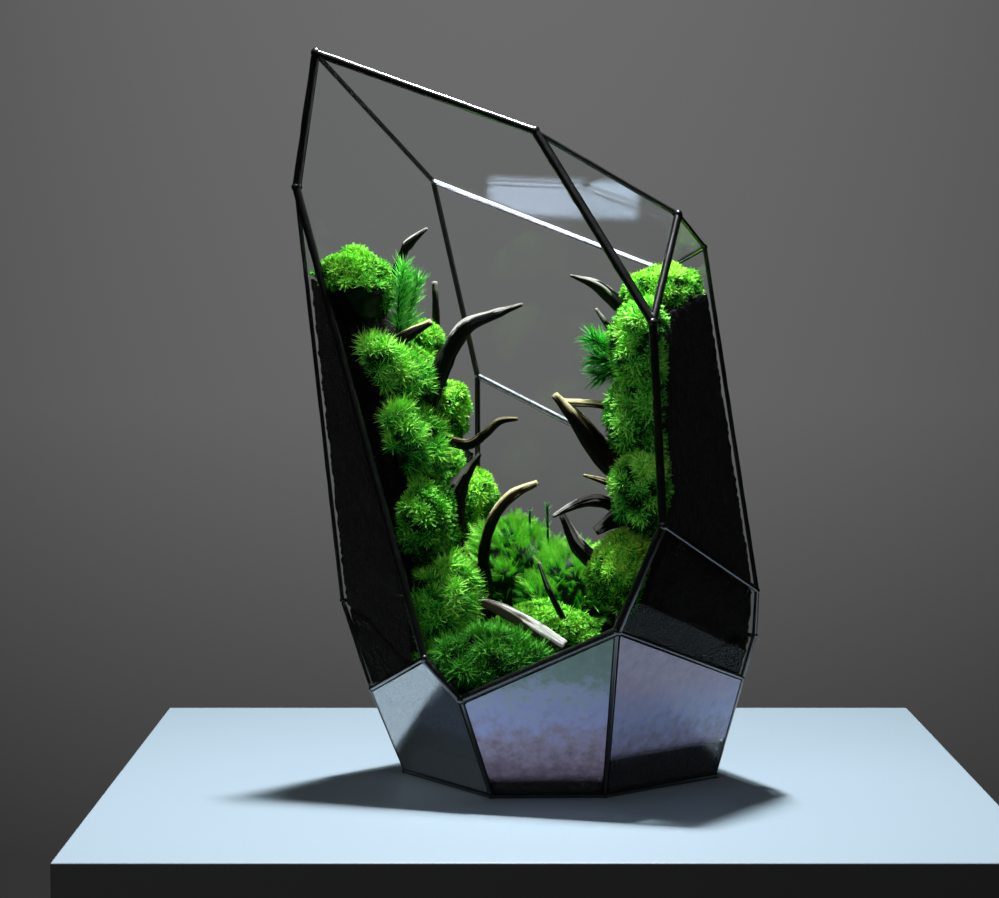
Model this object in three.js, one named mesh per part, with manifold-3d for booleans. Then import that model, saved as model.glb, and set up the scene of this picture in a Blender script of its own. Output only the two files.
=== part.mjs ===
// A faceted glass terrarium with an open front window, planted with moss, hair moss and driftwood.
// Millimetres, +Z up, the window towards -Y, the origin under the middle of the whole.
import * as THREE from 'three';
import { mergeVertices } from 'three/addons/utils/BufferGeometryUtils.js';
import Module from 'manifold-3d';

const wasm = await Module();
wasm.setup();

// Driving dimensions
const PANE = 3;              // thickness of the glass
const CLEARANCE = 0.35;      // air left between neighbouring pieces
const RIM_RADIUS = 2.8;      // bead round the open window
const SEAM_RADIUS = 1.5;     // bead along an ordinary edge
const BROW_RADIUS = 2.2;     // heavier bead that ends in the window's right corner
const BASE_RADIUS = 2.4;     // bead round the foot
const BASE_FLAT = 1.8;       // how far below the foot's edges that bead is filed flat
const RIM_SIDES = 6;         // sides of the heavy beads' section
const SEAM_SIDES = 4;        // sides of the ordinary beads' section
const KNOT = 2;              // half width of a solder knot at a corner, in radii of its bead
const GRIT_TOP = 26;         // height of the drainage grit
const REACH = 1100;          // more than twice the whole terrarium, for cutting blocks
const CELLS = 32;            // cells along a rough face of that length

// Corners of the crystal, where the middles of the solder beads meet
const corner = {
  apex: [-141, -21, 495],
  crown: [5, -76, 440],
  shoulder: [99, -70, 386],
  horn: [118, -45, 365],
  brow: [80, -114, 316],
  ear: [-154, -27, 405],
  nape: [-65, 72, 413],
  spine: [-34, 118, 274],
  tail: [95, 20, 350],
  hip: [155, -36, 135],
  elbow: [86, -131, 187],
  sillRight: [57, -128, 119],
  sillLeft: [-43, -101, 71],
  jamb: [-67, -90, 96],
  kneeLeft: [-106, 7, 62],
  flankLeft: [-127, 28, 121],
  kneeRight: [155, -21, 103],
  shinRight: [147, -14, 73],
  backRight: [94, 82, 210],
  heelLeft: [-34, 132, 117],
  heelRight: [112, 87, 96],
  footA: [131, 19, 0],
  footB: [52, -56, 0],
  footC: [-23, -58, 0],
  footD: [-84, 39, 0],
  footE: [-16, 117, 0],
  footF: [107, 80, 0],
};

// Flat faces between those corners; the window has no glass
const facets = {
  window: ['apex', 'crown', 'brow', 'elbow', 'sillRight', 'sillLeft', 'jamb', 'ear'],
  top: ['apex', 'crown', 'shoulder', 'horn', 'tail', 'nape'],
  gable: ['crown', 'shoulder', 'brow'],
  right: ['brow', 'shoulder', 'horn', 'hip', 'elbow'],
  right_low: ['elbow', 'hip', 'kneeRight', 'shinRight', 'sillRight'],
  left: ['ear', 'jamb', 'kneeLeft', 'flankLeft'],
  back_left: ['apex', 'nape', 'spine', 'heelLeft', 'flankLeft', 'ear'],
  back_top: ['nape', 'tail', 'backRight', 'spine'],
  back: ['spine', 'backRight', 'heelRight', 'heelLeft'],
  back_right: ['horn', 'tail', 'backRight', 'heelRight', 'kneeRight', 'hip'],
  skirt_front: ['sillLeft', 'sillRight', 'footB', 'footC'],
  skirt_right: ['sillRight', 'shinRight', 'footA', 'footB'],
  skirt_left: ['jamb', 'sillLeft', 'footC', 'footD', 'kneeLeft'],
  skirt_back_left: ['flankLeft', 'footD', 'footE', 'heelLeft'],
  skirt_back_right: ['kneeRight', 'footA', 'footF', 'heelRight'],
  skirt_back: ['heelLeft', 'heelRight', 'footF', 'footE'],
  corner_left: ['flankLeft', 'kneeLeft', 'footD'],
  corner_right: ['kneeRight', 'shinRight', 'footA'],
  base: ['footA', 'footB', 'footC', 'footD', 'footE', 'footF'],
};

// Finishes, as colour, roughness and metalness
const finish = {
  glass: { color: 0xcfe0de, roughness: 0.03, metalness: 0, transparent: true, opacity: 0.25 },
  solder: { color: 0x1d1e20, roughness: 0.35, metalness: 0.8 },
  soil: { color: 0x15120f, roughness: 0.95, metalness: 0 },
  grit: { color: 0x2a2826, roughness: 0.9, metalness: 0 },
  wood: { color: 0x3a2a1d, roughness: 0.8, metalness: 0 },
  paleWood: { color: 0xa89f92, roughness: 0.8, metalness: 0 },
  moss: { color: 0x4fae1e, roughness: 0.9, metalness: 0 },
  brightMoss: { color: 0x8fd42a, roughness: 0.9, metalness: 0 },
  featherMoss: { color: 0x2b8a24, roughness: 0.9, metalness: 0 },
  hairMoss: { color: 0x1f8f2c, roughness: 0.8, metalness: 0 },
};

const terrarium = new THREE.Group();

// Shared shapes and cuts

const point = (xyz) => new THREE.Vector3(...xyz);

// A repeatable draw between 0 and 1 for each seed
function dice(seed) {
  let state = seed * 2654435761 >>> 0;
  return () => {
    state = state + 0x6d2b79f5 >>> 0;
    let mixed = Math.imul(state ^ state >>> 15, state | 1);
    mixed ^= mixed + Math.imul(mixed ^ mixed >>> 7, mixed | 61);
    return ((mixed ^ mixed >>> 14) >>> 0) / 4294967296;
  };
}

// Slow waves over a surface, between -1 and 1
function ripple(a, b, length) {
  const long = Math.sin(a / length + 1.3) * Math.cos(b / length * 1.1 + 0.4);
  const short = Math.sin(a / length * 2.3 + b / length * 0.7) * Math.cos(b / length * 2.6 + 2);
  return 0.65 * long + 0.35 * short;
}

// The geometry with each vertex stored once and only its position kept
function welded(geometry) {
  geometry.deleteAttribute('normal');
  geometry.deleteAttribute('uv');
  return mergeVertices(geometry, 1e-3);
}

function solid(geometry) {
  const plain = welded(geometry);
  return new wasm.Manifold(new wasm.Mesh({
    numProp: 3,
    vertProperties: new Float32Array(plain.attributes.position.array),
    triVerts: new Uint32Array(plain.index.array),
  }));
}

const joined = (solids) => solids.reduce((whole, next) => whole.add(next));
const cut = (body, cutters) => cutters.reduce((rest, cutter) => rest.subtract(cutter), body);

// The largest closed body of a cut, with its offcuts and sealed bubbles left out
function mainBody(body) {
  const pieces = body.decompose();
  return pieces.reduce((best, next) => (next.volume() > best.volume() ? next : best));
}

function addPiece(name, body, look) {
  const mesh = mainBody(body).getMesh();
  const geometry = new THREE.BufferGeometry();
  geometry.setAttribute('position', new THREE.BufferAttribute(mesh.vertProperties, 3));
  geometry.setIndex(new THREE.BufferAttribute(mesh.triVerts, 1));
  const piece = new THREE.Mesh(geometry, new THREE.MeshStandardMaterial(finish[look]));
  piece.name = name;
  terrarium.add(piece);
}

// Rings of points joined into a closed tube with a fan at each end
function loft(rings) {
  const around = rings[0].length;
  const middle = (ring) => ring.reduce((sum, p) => sum.add(p), point([0, 0, 0])).divideScalar(around);
  const points = [...rings.flat(), middle(rings[0]), middle(rings[rings.length - 1])];
  const index = [];
  for (let i = 0; i < around; i += 1) {
    const next = (i + 1) % around;
    const last = (rings.length - 1) * around;
    index.push(points.length - 2, next, i);
    index.push(points.length - 1, last + i, last + next);
    for (let row = 0; row < last; row += around) {
      index.push(row + i, row + next, row + around + next);
      index.push(row + i, row + around + next, row + around + i);
    }
  }
  const geometry = new THREE.BufferGeometry().setFromPoints(points);
  geometry.setIndex(index);
  return geometry;
}

// Faces of the crystal

const middleOfCrystal = Object.values(corner)
  .reduce((sum, xyz) => sum.add(point(xyz)), point([0, 0, 0]))
  .divideScalar(Object.keys(corner).length);

// A facet's middle, its outward normal and its corners, anticlockwise from outside
function facetPlane(names) {
  const points = names.map((name) => point(corner[name]));
  const centre = points.reduce((sum, p) => sum.add(p), point([0, 0, 0])).divideScalar(points.length);
  const normal = point([0, 0, 0]);
  points.forEach((p, i) => {
    const next = points[(i + 1) % points.length];
    normal.add(p.clone().sub(centre).cross(next.clone().sub(centre)));
  });
  normal.normalize();
  if (normal.dot(centre.clone().sub(middleOfCrystal)) < 0) {
    normal.negate();
    points.reverse();
    names = [...names].reverse();
  }
  return { names, points, centre, normal };
}

const planes = Object.fromEntries(
  Object.entries(facets).map(([name, names]) => [name, facetPlane(names)]));

const rimEdges = edgesOf(facets.window);
const baseEdges = edgesOf(facets.base);

function edgesOf(names) {
  return names.map((name, i) => [name, names[(i + 1) % names.length]].sort().join(' '));
}

// The radius of the bead along an edge, named by its two corners in order
function beadRadius(edge) {
  if (rimEdges.includes(edge)) return RIM_RADIUS;
  if (baseEdges.includes(edge)) return BASE_RADIUS;
  if (edge === 'brow shoulder') return BROW_RADIUS;
  return SEAM_RADIUS;
}

// Solder beads: a rod along each edge and an eight-sided knot at each end of it
function beads(edges, grown, sides = RIM_SIDES) {
  return joined(edges.flatMap((edge) => {
    const [from, to] = edge.split(' ').map((name) => point(corner[name]));
    const radius = beadRadius(edge) + grown;
    const along = to.clone().sub(from);
    const turn = new THREE.Quaternion().setFromUnitVectors(point([0, 1, 0]), along.clone().normalize());
    const rod = new THREE.CylinderGeometry(radius, radius, along.length() - radius, sides);
    rod.applyQuaternion(turn).translate(...from.clone().lerp(to, 0.5));
    const knots = [from, to].map((end) => {
      const knot = new THREE.OctahedronGeometry(radius * KNOT);
      return solid(knot.translate(...end));
    });
    return [solid(rod), ...knots];
  }));
}

// A block that fills all space outside a facet, from a depth below it
function outside(plane, depth) {
  const block = new THREE.BoxGeometry(REACH, REACH, REACH);
  block.translate(0, 0, REACH / 2 - depth);
  block.applyQuaternion(new THREE.Quaternion().setFromUnitVectors(point([0, 0, 1]), plane.normal));
  return solid(block.translate(...plane.centre));
}

// Black solder along the edges: a heavy rim, a flat-footed base ring and the seams between

// Two seams run from the rim straight down to the foot, so they belong to the foot's ring
const allEdges = [...new Set(Object.values(facets).flatMap(edgesOf))];
const frontLegs = ['footB sillRight', 'footC sillLeft'];
const footEdges = [...baseEdges, ...frontLegs];
const seamEdges = allEdges.filter((edge) => !rimEdges.includes(edge) && !footEdges.includes(edge));
const underFoot = { centre: point([0, 0, -BASE_FLAT]), normal: point([0, 0, -1]) };
const grownRim = beads(rimEdges, CLEARANCE);
const grownBase = beads(footEdges, CLEARANCE);
const grownSeams = beads(seamEdges, CLEARANCE, SEAM_SIDES);

addPiece('window_rim', beads(rimEdges, 0), 'solder');
addPiece('base_rim', cut(beads(footEdges, 0), [outside(underFoot, 0), grownRim]), 'solder');
addPiece('solder_seams', cut(beads(seamEdges, 0, SEAM_SIDES), [grownRim, grownBase]), 'solder');

// Panes, each cut back from the beads that hold it

function pane(plane) {
  const across = plane.points[1].clone().sub(plane.points[0]).projectOnPlane(plane.normal).normalize();
  const upwards = plane.normal.clone().cross(across);
  const flat = plane.points.map((p) => {
    const offset = p.clone().sub(plane.centre);
    return new THREE.Vector2(offset.dot(across), offset.dot(upwards));
  });
  const edges = edgesOf(plane.names);
  const lines = flat.map((p, i) => {
    const along = flat[(i + 1) % flat.length].clone().sub(p).normalize();
    const inward = new THREE.Vector2(-along.y, along.x);
    const start = p.clone().addScaledVector(inward, beadRadius(edges[i]) + CLEARANCE);
    return { start, along };
  });
  const outline = lines.map((line, i) => {
    const before = lines[(i + lines.length - 1) % lines.length];
    const gap = line.start.clone().sub(before.start);
    const step = gap.cross(line.along) / before.along.cross(line.along);
    return before.start.clone().addScaledVector(before.along, step);
  });
  const glass = new THREE.ExtrudeGeometry(new THREE.Shape(outline), { depth: PANE, bevelEnabled: false });
  glass.translate(0, 0, -PANE / 2);
  glass.applyMatrix4(new THREE.Matrix4().makeBasis(across, upwards, plane.normal));
  return solid(glass.translate(...plane.centre));
}

for (const [name, plane] of Object.entries(planes)) {
  if (name !== 'window') {
    addPiece(`glass_${name}`, cut(pane(plane), [grownRim, grownBase, grownSeams]), 'glass');
  }
}

// The room inside, clear of glass and solder
const room = cut(solid(new THREE.BoxGeometry(REACH, REACH, REACH)), [
  ...Object.entries(planes).map(([name, plane]) => (
    outside(plane, name === 'window' ? 0 : PANE / 2 + CLEARANCE))),
  grownRim, grownBase, grownSeams,
]);

// Driftwood: bent tapering branches, rough round their section

function limb({ path, girth, seed, sides = 6 }, grown) {
  const curve = new THREE.CatmullRomCurve3(path.map(point));
  const steps = Math.max(5, Math.round(curve.getLength() / 9));
  const frames = curve.computeFrenetFrames(steps, false);
  const random = dice(seed);
  const ridges = Array.from({ length: sides }, () => 0.8 + 0.35 * random());
  const rings = [];
  for (let step = 0; step <= steps; step += 1) {
    const share = step / steps * (girth.length - 1);
    const low = Math.min(Math.floor(share), girth.length - 2);
    const radius = THREE.MathUtils.lerp(girth[low], girth[low + 1], share - low);
    const knobs = 1 + 0.12 * (random() - 0.5);
    const middle = curve.getPointAt(step / steps);
    rings.push(ridges.map((ridge, side) => {
      const angle = side / sides * 2 * Math.PI + step * 0.12;
      const away = radius * ridge * knobs + grown;
      return middle.clone()
        .addScaledVector(frames.normals[step], away * Math.cos(angle))
        .addScaledVector(frames.binormals[step], away * Math.sin(angle));
    }));
  }
  return solid(loft(rings));
}

function branch(wood, grown = 0) {
  const forks = wood.forks ?? [];
  return joined([wood, ...forks].map((fork, i) => limb({ ...fork, seed: wood.seed + 50 * i }, grown)));
}

// Each branch from its root in the bank to its tip, with its radius along the way
const driftwood = {
  driftwood_hook: {
    path: [[-101, 14, 318], [-84, 2, 360], [-79, -2, 368], [-67, -6, 378]],
    girth: [4, 3, 3.4, 1],
  },
  driftwood_post: {
    path: [[-66, 44, 280], [-62, 38, 300], [-62, 36, 320], [-63, 34, 342]],
    girth: [3, 2.8, 2.4, 2],
  },
  driftwood_arch: {
    path: [[-104, -6, 283], [-92, -12, 297], [-80, -18, 306], [-64, -24, 315]],
    girth: [4.5, 5.5, 4, 2],
  },
  driftwood_limb: {
    path: [
      [-78, 8, 232], [-69, -5, 255], [-60, -14, 279], [-51, -20, 297],
      [-40, -26, 312], [-22, -34, 320], [-3, -42, 327],
    ],
    girth: [8, 8.2, 7.4, 6, 4.8, 3.4, 1.2],
  },
  driftwood_snake: {
    path: [
      [-76, -8, 240], [-64, -20, 237], [-50, -26, 234], [-38, -30, 233],
      [-28, -34, 240], [-18, -40, 249], [-6, -46, 251],
    ],
    girth: [3.5, 3.6, 3.4, 3.6, 3, 2.6, 1.2],
  },
  driftwood_stump: {
    path: [[-56, 2, 146], [-50, -18, 166], [-49, -24, 188], [-45, -28, 206], [-31, -34, 227]],
    girth: [6, 7, 7.2, 6, 1.4],
  },
  driftwood_finger: {
    path: [
      [-23, 8, 100], [-27, -16, 138], [-29, -23, 155], [-26, -26, 172],
      [-20, -32, 187], [-8, -36, 200], [7, -42, 208],
    ],
    girth: [4, 4.2, 4, 3.8, 3.8, 3.6, 2],
  },
  driftwood_log: {
    path: [[-31, -53, 130], [-10, -60, 122], [6, -65, 113], [25, -69, 102]],
    girth: [3.2, 4.6, 4.8, 3.6],
  },
  driftwood_tusk: {
    path: [[84, -28, 306], [70, -36, 320], [59, -40, 329], [46, -48, 340], [29, -56, 346]],
    girth: [6, 6.2, 5.4, 3.8, 0.9],
    forks: [{
      path: [[80, -30, 304], [67, -36, 299], [56, -38, 311], [46, -40, 324]],
      girth: [3.4, 3, 2.4, 1],
    }],
  },
  driftwood_blade: {
    path: [[88, -46, 200], [69, -54, 213], [52, -60, 228], [34, -66, 250], [18, -72, 268]],
    girth: [8, 9, 8.6, 6.6, 2.4],
    forks: [{
      path: [[84, -50, 244], [68, -58, 252], [49, -64, 261], [24, -70, 263]],
      girth: [3, 3.2, 2.8, 2.4],
    }],
  },
  driftwood_splinter: {
    path: [[84, -70, 196], [66, -76, 203], [52, -80, 211], [37, -84, 216]],
    girth: [2.6, 2.6, 2.2, 1],
  },
  driftwood_claw: {
    path: [
      [86, -50, 162], [74, -58, 178], [63, -62, 191],
      [48, -64, 198], [34, -68, 196], [17, -72, 188],
    ],
    girth: [4.5, 4.8, 4.6, 4.2, 3.2, 1.2],
    forks: [{
      path: [[66, -48, 140], [50, -56, 153], [34, -63, 168], [23, -69, 189]],
      girth: [4, 5.5, 5.5, 2],
    }, {
      path: [[88, -66, 198], [74, -68, 192], [60, -70, 187], [45, -71, 178]],
      girth: [7, 8, 7, 3],
    }],
  },
  driftwood_straw: {
    path: [[34, -52, 98], [24, -58, 119], [14, -62, 140], [8, -64, 157]],
    girth: [2.2, 2, 1.8, 1],
  },
};
Object.values(driftwood).forEach((wood, i) => { wood.seed = 11 + i; });

// Hair moss and shoots: upright stems with narrow leaves all round, one stem after another

const sprigs = {
  hair_moss_tall: {
    stems: [
      [[-88, -8, 296], [-86, -12, 330], [-83, -14, 352]],
      [[-82, 0, 296], [-79, -2, 322], [-74, -4, 342]],
    ],
    leaves: 16,
    length: [9, 13],
    seed: 41,
  },
  hair_moss_tuft: {
    stems: [
      [[80, -56, 276], [60, -62, 288], [46, -66, 292]],
      [[78, -54, 284], [58, -60, 296], [44, -64, 304]],
    ],
    leaves: 10,
    length: [11, 15],
    seed: 42,
  },
  moss_shoots: {
    stems: [
      [[9, 24, 118], [3, 22, 150], [3, 20, 184]],
      [[9, 24, 118], [15, 22, 150], [15, 20, 189]],
    ],
    leaves: 6,
    length: [3, 6],
    seed: 43,
  },
};
const STEM_RADIUS = 1.3;
const LEAF_RADIUS = 0.75;
const GOLDEN_TURN = 2.4;        // radians between one leaf or frond and the next

function stem(path, grown) {
  return limb({ path, girth: [STEM_RADIUS, STEM_RADIUS, STEM_RADIUS * 0.7], seed: 5, sides: 5 }, grown);
}

// A three-sided narrow leaf, from a sunk root towards a direction
function narrowLeaf(root, towards, length) {
  const leaf = new THREE.ConeGeometry(LEAF_RADIUS, length, 3);
  leaf.translate(0, length / 2 - STEM_RADIUS * 0.5, 0);
  leaf.applyQuaternion(new THREE.Quaternion().setFromUnitVectors(point([0, 1, 0]), towards));
  return solid(leaf.translate(...root));
}

function sprigLeaves({ stems, leaves, length, seed }) {
  const random = dice(seed);
  return joined(stems.flatMap((path) => {
    const curve = new THREE.CatmullRomCurve3(path.map(point));
    return Array.from({ length: leaves }, (_, i) => {
      const share = 0.3 + 0.7 * i / leaves;
      const tangent = curve.getTangentAt(share);
      const side = new THREE.Vector3(tangent.z, 0, -tangent.x).normalize();
      side.applyAxisAngle(tangent, i * GOLDEN_TURN + 0.3 * random());
      const lean = THREE.MathUtils.lerp(0.25, 1.3, share * random() + share * 0.2);
      const towards = side.addScaledVector(tangent, lean).normalize();
      return narrowLeaf(curve.getPointAt(share), towards, THREE.MathUtils.lerp(...length, random()));
    });
  }));
}

// Soil: grit for drainage, a floor that rises to the back, and a bank on each side

const floorHeight = (x, y) => 80 + 0.33 * (y + 88) + 5 * ripple(x, y, 17);
const leftFace = (y, z) => (
  -66 - 52 * Math.max(0, (z - 130) / 205) ** 1.8 + 0.28 * (y + 30) + 4 * ripple(y, z, 16));
const leftTop = (x) => 334 - 0.5 * (x + 120);
const rightFace = (y, z) => 90 - 0.1 * (y + 90) - 0.3 * Math.max(0, 190 - z) + 4 * ripple(y, z, 18);
const SOIL_BACK = 13;          // how far the soil stays behind the window
const rightTop = (x) => 318 + 0.45 * (x - 80);

// A block with one rough face, moved out along its axis by the clearance when grown
function rough(axis, facing, height, grown = 0) {
  const cells = axis === 'z' ? [CELLS, CELLS, 1] : [1, CELLS, CELLS];
  const block = welded(new THREE.BoxGeometry(REACH, REACH, REACH, ...cells));
  const spot = block.attributes.position;
  for (let i = 0; i < spot.count; i += 1) {
    const [x, y, z] = [spot.getX(i), spot.getY(i), spot.getZ(i)];
    if (axis === 'z') spot.setXYZ(i, x, y, z > 0 ? height(x, y) + grown : -REACH);
    else spot.setXYZ(i, x * facing > 0 ? height(y, z) + grown * facing : -REACH * facing, y, z);
  }
  return solid(block);
}

const under = (height, grown = 0) => {
  const block = welded(new THREE.BoxGeometry(REACH, REACH, REACH));
  const spot = block.attributes.position;
  for (let i = 0; i < spot.count; i += 1) {
    spot.setZ(i, spot.getZ(i) > 0 ? height(spot.getX(i)) + grown : -REACH);
  }
  return solid(block);
};

const woods = Object.fromEntries(
  Object.entries(driftwood).map(([name, wood]) => [name, branch(wood).intersect(room)]));
const grownWood = joined(Object.values(driftwood).map((wood) => branch(wood, CLEARANCE)));
const allStems = Object.values(sprigs).flatMap((sprig) => sprig.stems);
const grownStems = joined(allStems.map((path) => stem(path, CLEARANCE)));
const grit = (grown) => under(() => GRIT_TOP, grown);
const grownFloor = rough('z', 1, floorHeight, CLEARANCE);
const grownLeft = rough('x', 1, leftFace, CLEARANCE).intersect(under(leftTop, CLEARANCE));
const grownRight = rough('x', -1, rightFace, CLEARANCE).intersect(under(rightTop, CLEARANCE));
const holes = [grownWood, grownStems];
const grownSoil = [grownFloor, grownLeft, grownRight];
const soilRoom = cut(room, [outside(planes.window, SOIL_BACK)]);

addPiece('drainage_grit', room.intersect(grit(0)), 'grit');
const soils = {
  soil_floor: cut(rough('z', 1, floorHeight), [grit(CLEARANCE)]),
  soil_bank_left: cut(rough('x', 1, leftFace).intersect(under(leftTop)), [grownFloor]),
  soil_bank_right: cut(rough('x', -1, rightFace).intersect(under(rightTop)), [grownFloor]),
};
for (const [name, heap] of Object.entries(soils)) {
  addPiece(name, cut(soilRoom.intersect(heap), holes), 'soil');
}

Object.entries(woods).forEach(([name, wood], i) => {
  const earlier = Object.values(driftwood).slice(0, i).map((other) => branch(other, CLEARANCE));
  addPiece(name, cut(wood, earlier), name === 'driftwood_log' ? 'paleWood' : 'wood');
});

// Moss: cushions raised into tufts, some of them with small fronds standing out

const cushions = {
  moss_dome_left: { at: [-117, -17, 337], size: [23, 28, 22], look: 'moss', grain: 3, seed: 61 },
  moss_shelf_left: {
    at: [-103, -34, 288], size: [16, 16, 11], look: 'featherMoss', grain: 2, seed: 62, leafy: true,
    lumps: [{ at: [-85, -20, 273], size: [18, 18, 14] }, { at: [-107, -36, 290], size: [14, 12, 13] }],
  },
  moss_slope_left: {
    at: [-78, 10, 276], size: [17, 20, 18], look: 'moss', grain: 2, seed: 63,
    lumps: [{ at: [-69, 28, 297], size: [11, 18, 15] }],
  },
  moss_back_left: { at: [-57, 60, 250], size: [14, 22, 20], look: 'brightMoss', grain: 2, seed: 65 },
  moss_middle_left: {
    at: [-79, -22, 231], size: [20, 22, 22],
    look: 'featherMoss', grain: 3, seed: 66, leafy: true,
    lumps: [{ at: [-84, -48, 238], size: [12, 12, 18], grain: 2 }],
  },
  moss_inner_left: { at: [-61, 22, 208], size: [16, 24, 24], look: 'moss', grain: 2, seed: 67 },
  moss_lower_left: {
    at: [-71, -34, 182], size: [19, 22, 29], look: 'moss', grain: 3, seed: 68,
    lumps: [{ at: [-70, -60, 180], size: [12, 12, 24], grain: 2 }],
  },
  moss_pillow_back: { at: [-39, 64, 185], size: [15, 26, 22], look: 'brightMoss', grain: 2, seed: 69 },
  moss_foot_left: {
    at: [-60, -46, 131], size: [22, 24, 29],
    look: 'featherMoss', grain: 3, seed: 70, leafy: true,
  },
  moss_sill: {
    at: [-28, -74, 91], size: [38, 20, 18],
    look: 'featherMoss', grain: 3, seed: 71, leafy: true,
  },
  moss_floor_back: {
    at: [-8, 34, 142], size: [23, 34, 29],
    look: 'featherMoss', grain: 3, seed: 72, leafy: true,
  },
  moss_floor_right: {
    at: [30, 12, 126], size: [29, 36, 29],
    look: 'featherMoss', grain: 3, seed: 73, leafy: true,
  },
  moss_floor_front: { at: [12, -36, 102], size: [36, 26, 21], look: 'moss', grain: 3, seed: 74 },
  moss_crest_right: {
    at: [90, -42, 334], size: [21, 28, 15], look: 'brightMoss', grain: 3, seed: 75,
    lumps: [{ at: [104, -34, 332], size: [12, 20, 12], grain: 2 }],
  },
  moss_upper_right: {
    at: [76, -80, 300], size: [16, 24, 27], look: 'moss', grain: 2, seed: 76,
    lumps: [{ at: [75, -78, 254], size: [17, 22, 25] }],
  },
  moss_lower_right: { at: [77, -80, 207], size: [17, 24, 25], look: 'moss', grain: 2, seed: 78 },
  moss_foot_right: { at: [64, -66, 151], size: [20, 28, 23], look: 'brightMoss', grain: 2, seed: 79 },
  moss_far_right: {
    at: [80, 10, 286], size: [14, 36, 36], look: 'moss', grain: 2, seed: 80,
    lumps: [{ at: [78, 20, 218], size: [16, 40, 40] }],
  },
};
const TUFT = 5;                 // how far a cushion's tufts stand out
const FRONDS = 8;               // fronds on each leafy cushion
const FROND_RADIUS = 1.4;
const FROND_LENGTH = [12, 16];
const FROND_ROOT = 5;           // how deep a frond is sunk

// The cushion's surface in a direction: an egg with slow lumps
function cushionPoint({ at, size }, direction, away) {
  const lump = 1 + 0.1 * ripple(direction.x * 3 + at[0], direction.z * 3 + direction.y * 2, 1);
  const egg = direction.clone().multiply(point(size)).multiplyScalar(lump);
  return egg.addScaledVector(direction, away).add(point(at));
}

function mound(moss, grown) {
  const random = dice(moss.seed);
  const ball = welded(new THREE.IcosahedronGeometry(1, moss.grain));
  const spot = ball.attributes.position;
  for (let i = 0; i < spot.count; i += 1) {
    const tip = random() < 0.4 ? 1 : 0.25 * random();
    const direction = new THREE.Vector3().fromBufferAttribute(spot, i);
    spot.setXYZ(i, ...cushionPoint(moss, direction, TUFT * tip + grown));
  }
  return solid(ball);
}

function cushion(moss, grown = 0) {
  const lumps = moss.lumps ?? [];
  return joined([moss, ...lumps].map((lump) => mound({ ...moss, ...lump }, grown)));
}

function fronds(moss) {
  const random = dice(moss.seed + 100);
  return joined(Array.from({ length: FRONDS }, (_, i) => {
    const height = 1 - 1.5 * (i + 0.5) / FRONDS;
    const flat = Math.sqrt(1 - height * height);
    const turn = i * GOLDEN_TURN;
    const direction = new THREE.Vector3(flat * Math.cos(turn), flat * Math.sin(turn), height);
    const length = THREE.MathUtils.lerp(...FROND_LENGTH, random());
    const frond = new THREE.ConeGeometry(FROND_RADIUS, length, 3);
    frond.translate(0, length / 2 - FROND_ROOT, 0);
    const towards = direction.clone().add(new THREE.Vector3(0, 0, 0.7 * random())).normalize();
    frond.applyQuaternion(new THREE.Quaternion().setFromUnitVectors(point([0, 1, 0]), towards));
    return solid(frond.translate(...cushionPoint(moss, direction, TUFT / 2)));
  }));
}

const mosses = Object.values(cushions);
Object.entries(cushions).forEach(([name, moss], i) => {
  const rest = [...grownSoil, ...holes];
  const earlier = mosses.slice(0, i).map((other) => cushion(other, CLEARANCE));
  let body = cut(cushion(moss).intersect(room), [...rest, ...earlier]);
  if (moss.leafy) {
    const others = mosses.filter((other) => other !== moss).map((other) => cushion(other, CLEARANCE));
    body = body.add(cut(fronds(moss).intersect(room), [...rest, ...others]));
  }
  moss.body = body;
  addPiece(name, body, moss.look);
});

for (const [name, sprig] of Object.entries(sprigs)) {
  const stems = cut(joined(sprig.stems.map((path) => stem(path, 0))).intersect(room), [grownWood]);
  const clear = [...grownSoil, grownWood, ...mosses.map((moss) => cushion(moss, CLEARANCE))];
  addPiece(name, stems.add(cut(sprigLeaves(sprig).intersect(room), clear)), 'hairMoss');
}

// The origin goes under the middle of the whole
const bounds = new THREE.Box3().setFromObject(terrarium);
const middle = bounds.getCenter(new THREE.Vector3());
terrarium.position.set(-middle.x, -middle.y, -bounds.min.z);

export default terrarium;
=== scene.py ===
import math

import bmesh
import bpy
import numpy as np
from mathutils import Matrix, Quaternion, Vector, noise
from mathutils.bvhtree import BVHTree


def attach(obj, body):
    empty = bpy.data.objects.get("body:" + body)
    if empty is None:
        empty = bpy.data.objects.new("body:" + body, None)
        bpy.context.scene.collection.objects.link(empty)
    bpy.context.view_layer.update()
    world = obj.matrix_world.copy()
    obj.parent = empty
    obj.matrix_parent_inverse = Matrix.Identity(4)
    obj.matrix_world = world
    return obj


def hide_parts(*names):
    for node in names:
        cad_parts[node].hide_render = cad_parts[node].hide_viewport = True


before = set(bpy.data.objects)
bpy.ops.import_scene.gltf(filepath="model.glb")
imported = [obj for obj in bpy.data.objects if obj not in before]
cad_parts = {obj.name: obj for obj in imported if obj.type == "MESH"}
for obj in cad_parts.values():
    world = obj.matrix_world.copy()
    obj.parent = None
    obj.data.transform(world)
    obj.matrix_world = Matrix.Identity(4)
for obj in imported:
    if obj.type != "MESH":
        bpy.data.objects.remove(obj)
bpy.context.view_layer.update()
scene = bpy.context.scene


# Camera
# A long lens on a tripod some two metres away. It stands level with the upper third of the terrarium and
# is tilted slightly down, so that the foot and the plinth's front edge come into the frame.

CAMERA_PLACE = (-0.0172, -1.9132, 0.34558)
CAMERA_TILT = 3.462                       # degrees below level
LENS = 101.26                             # mm
SENSOR = 36.0                             # mm wide

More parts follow.
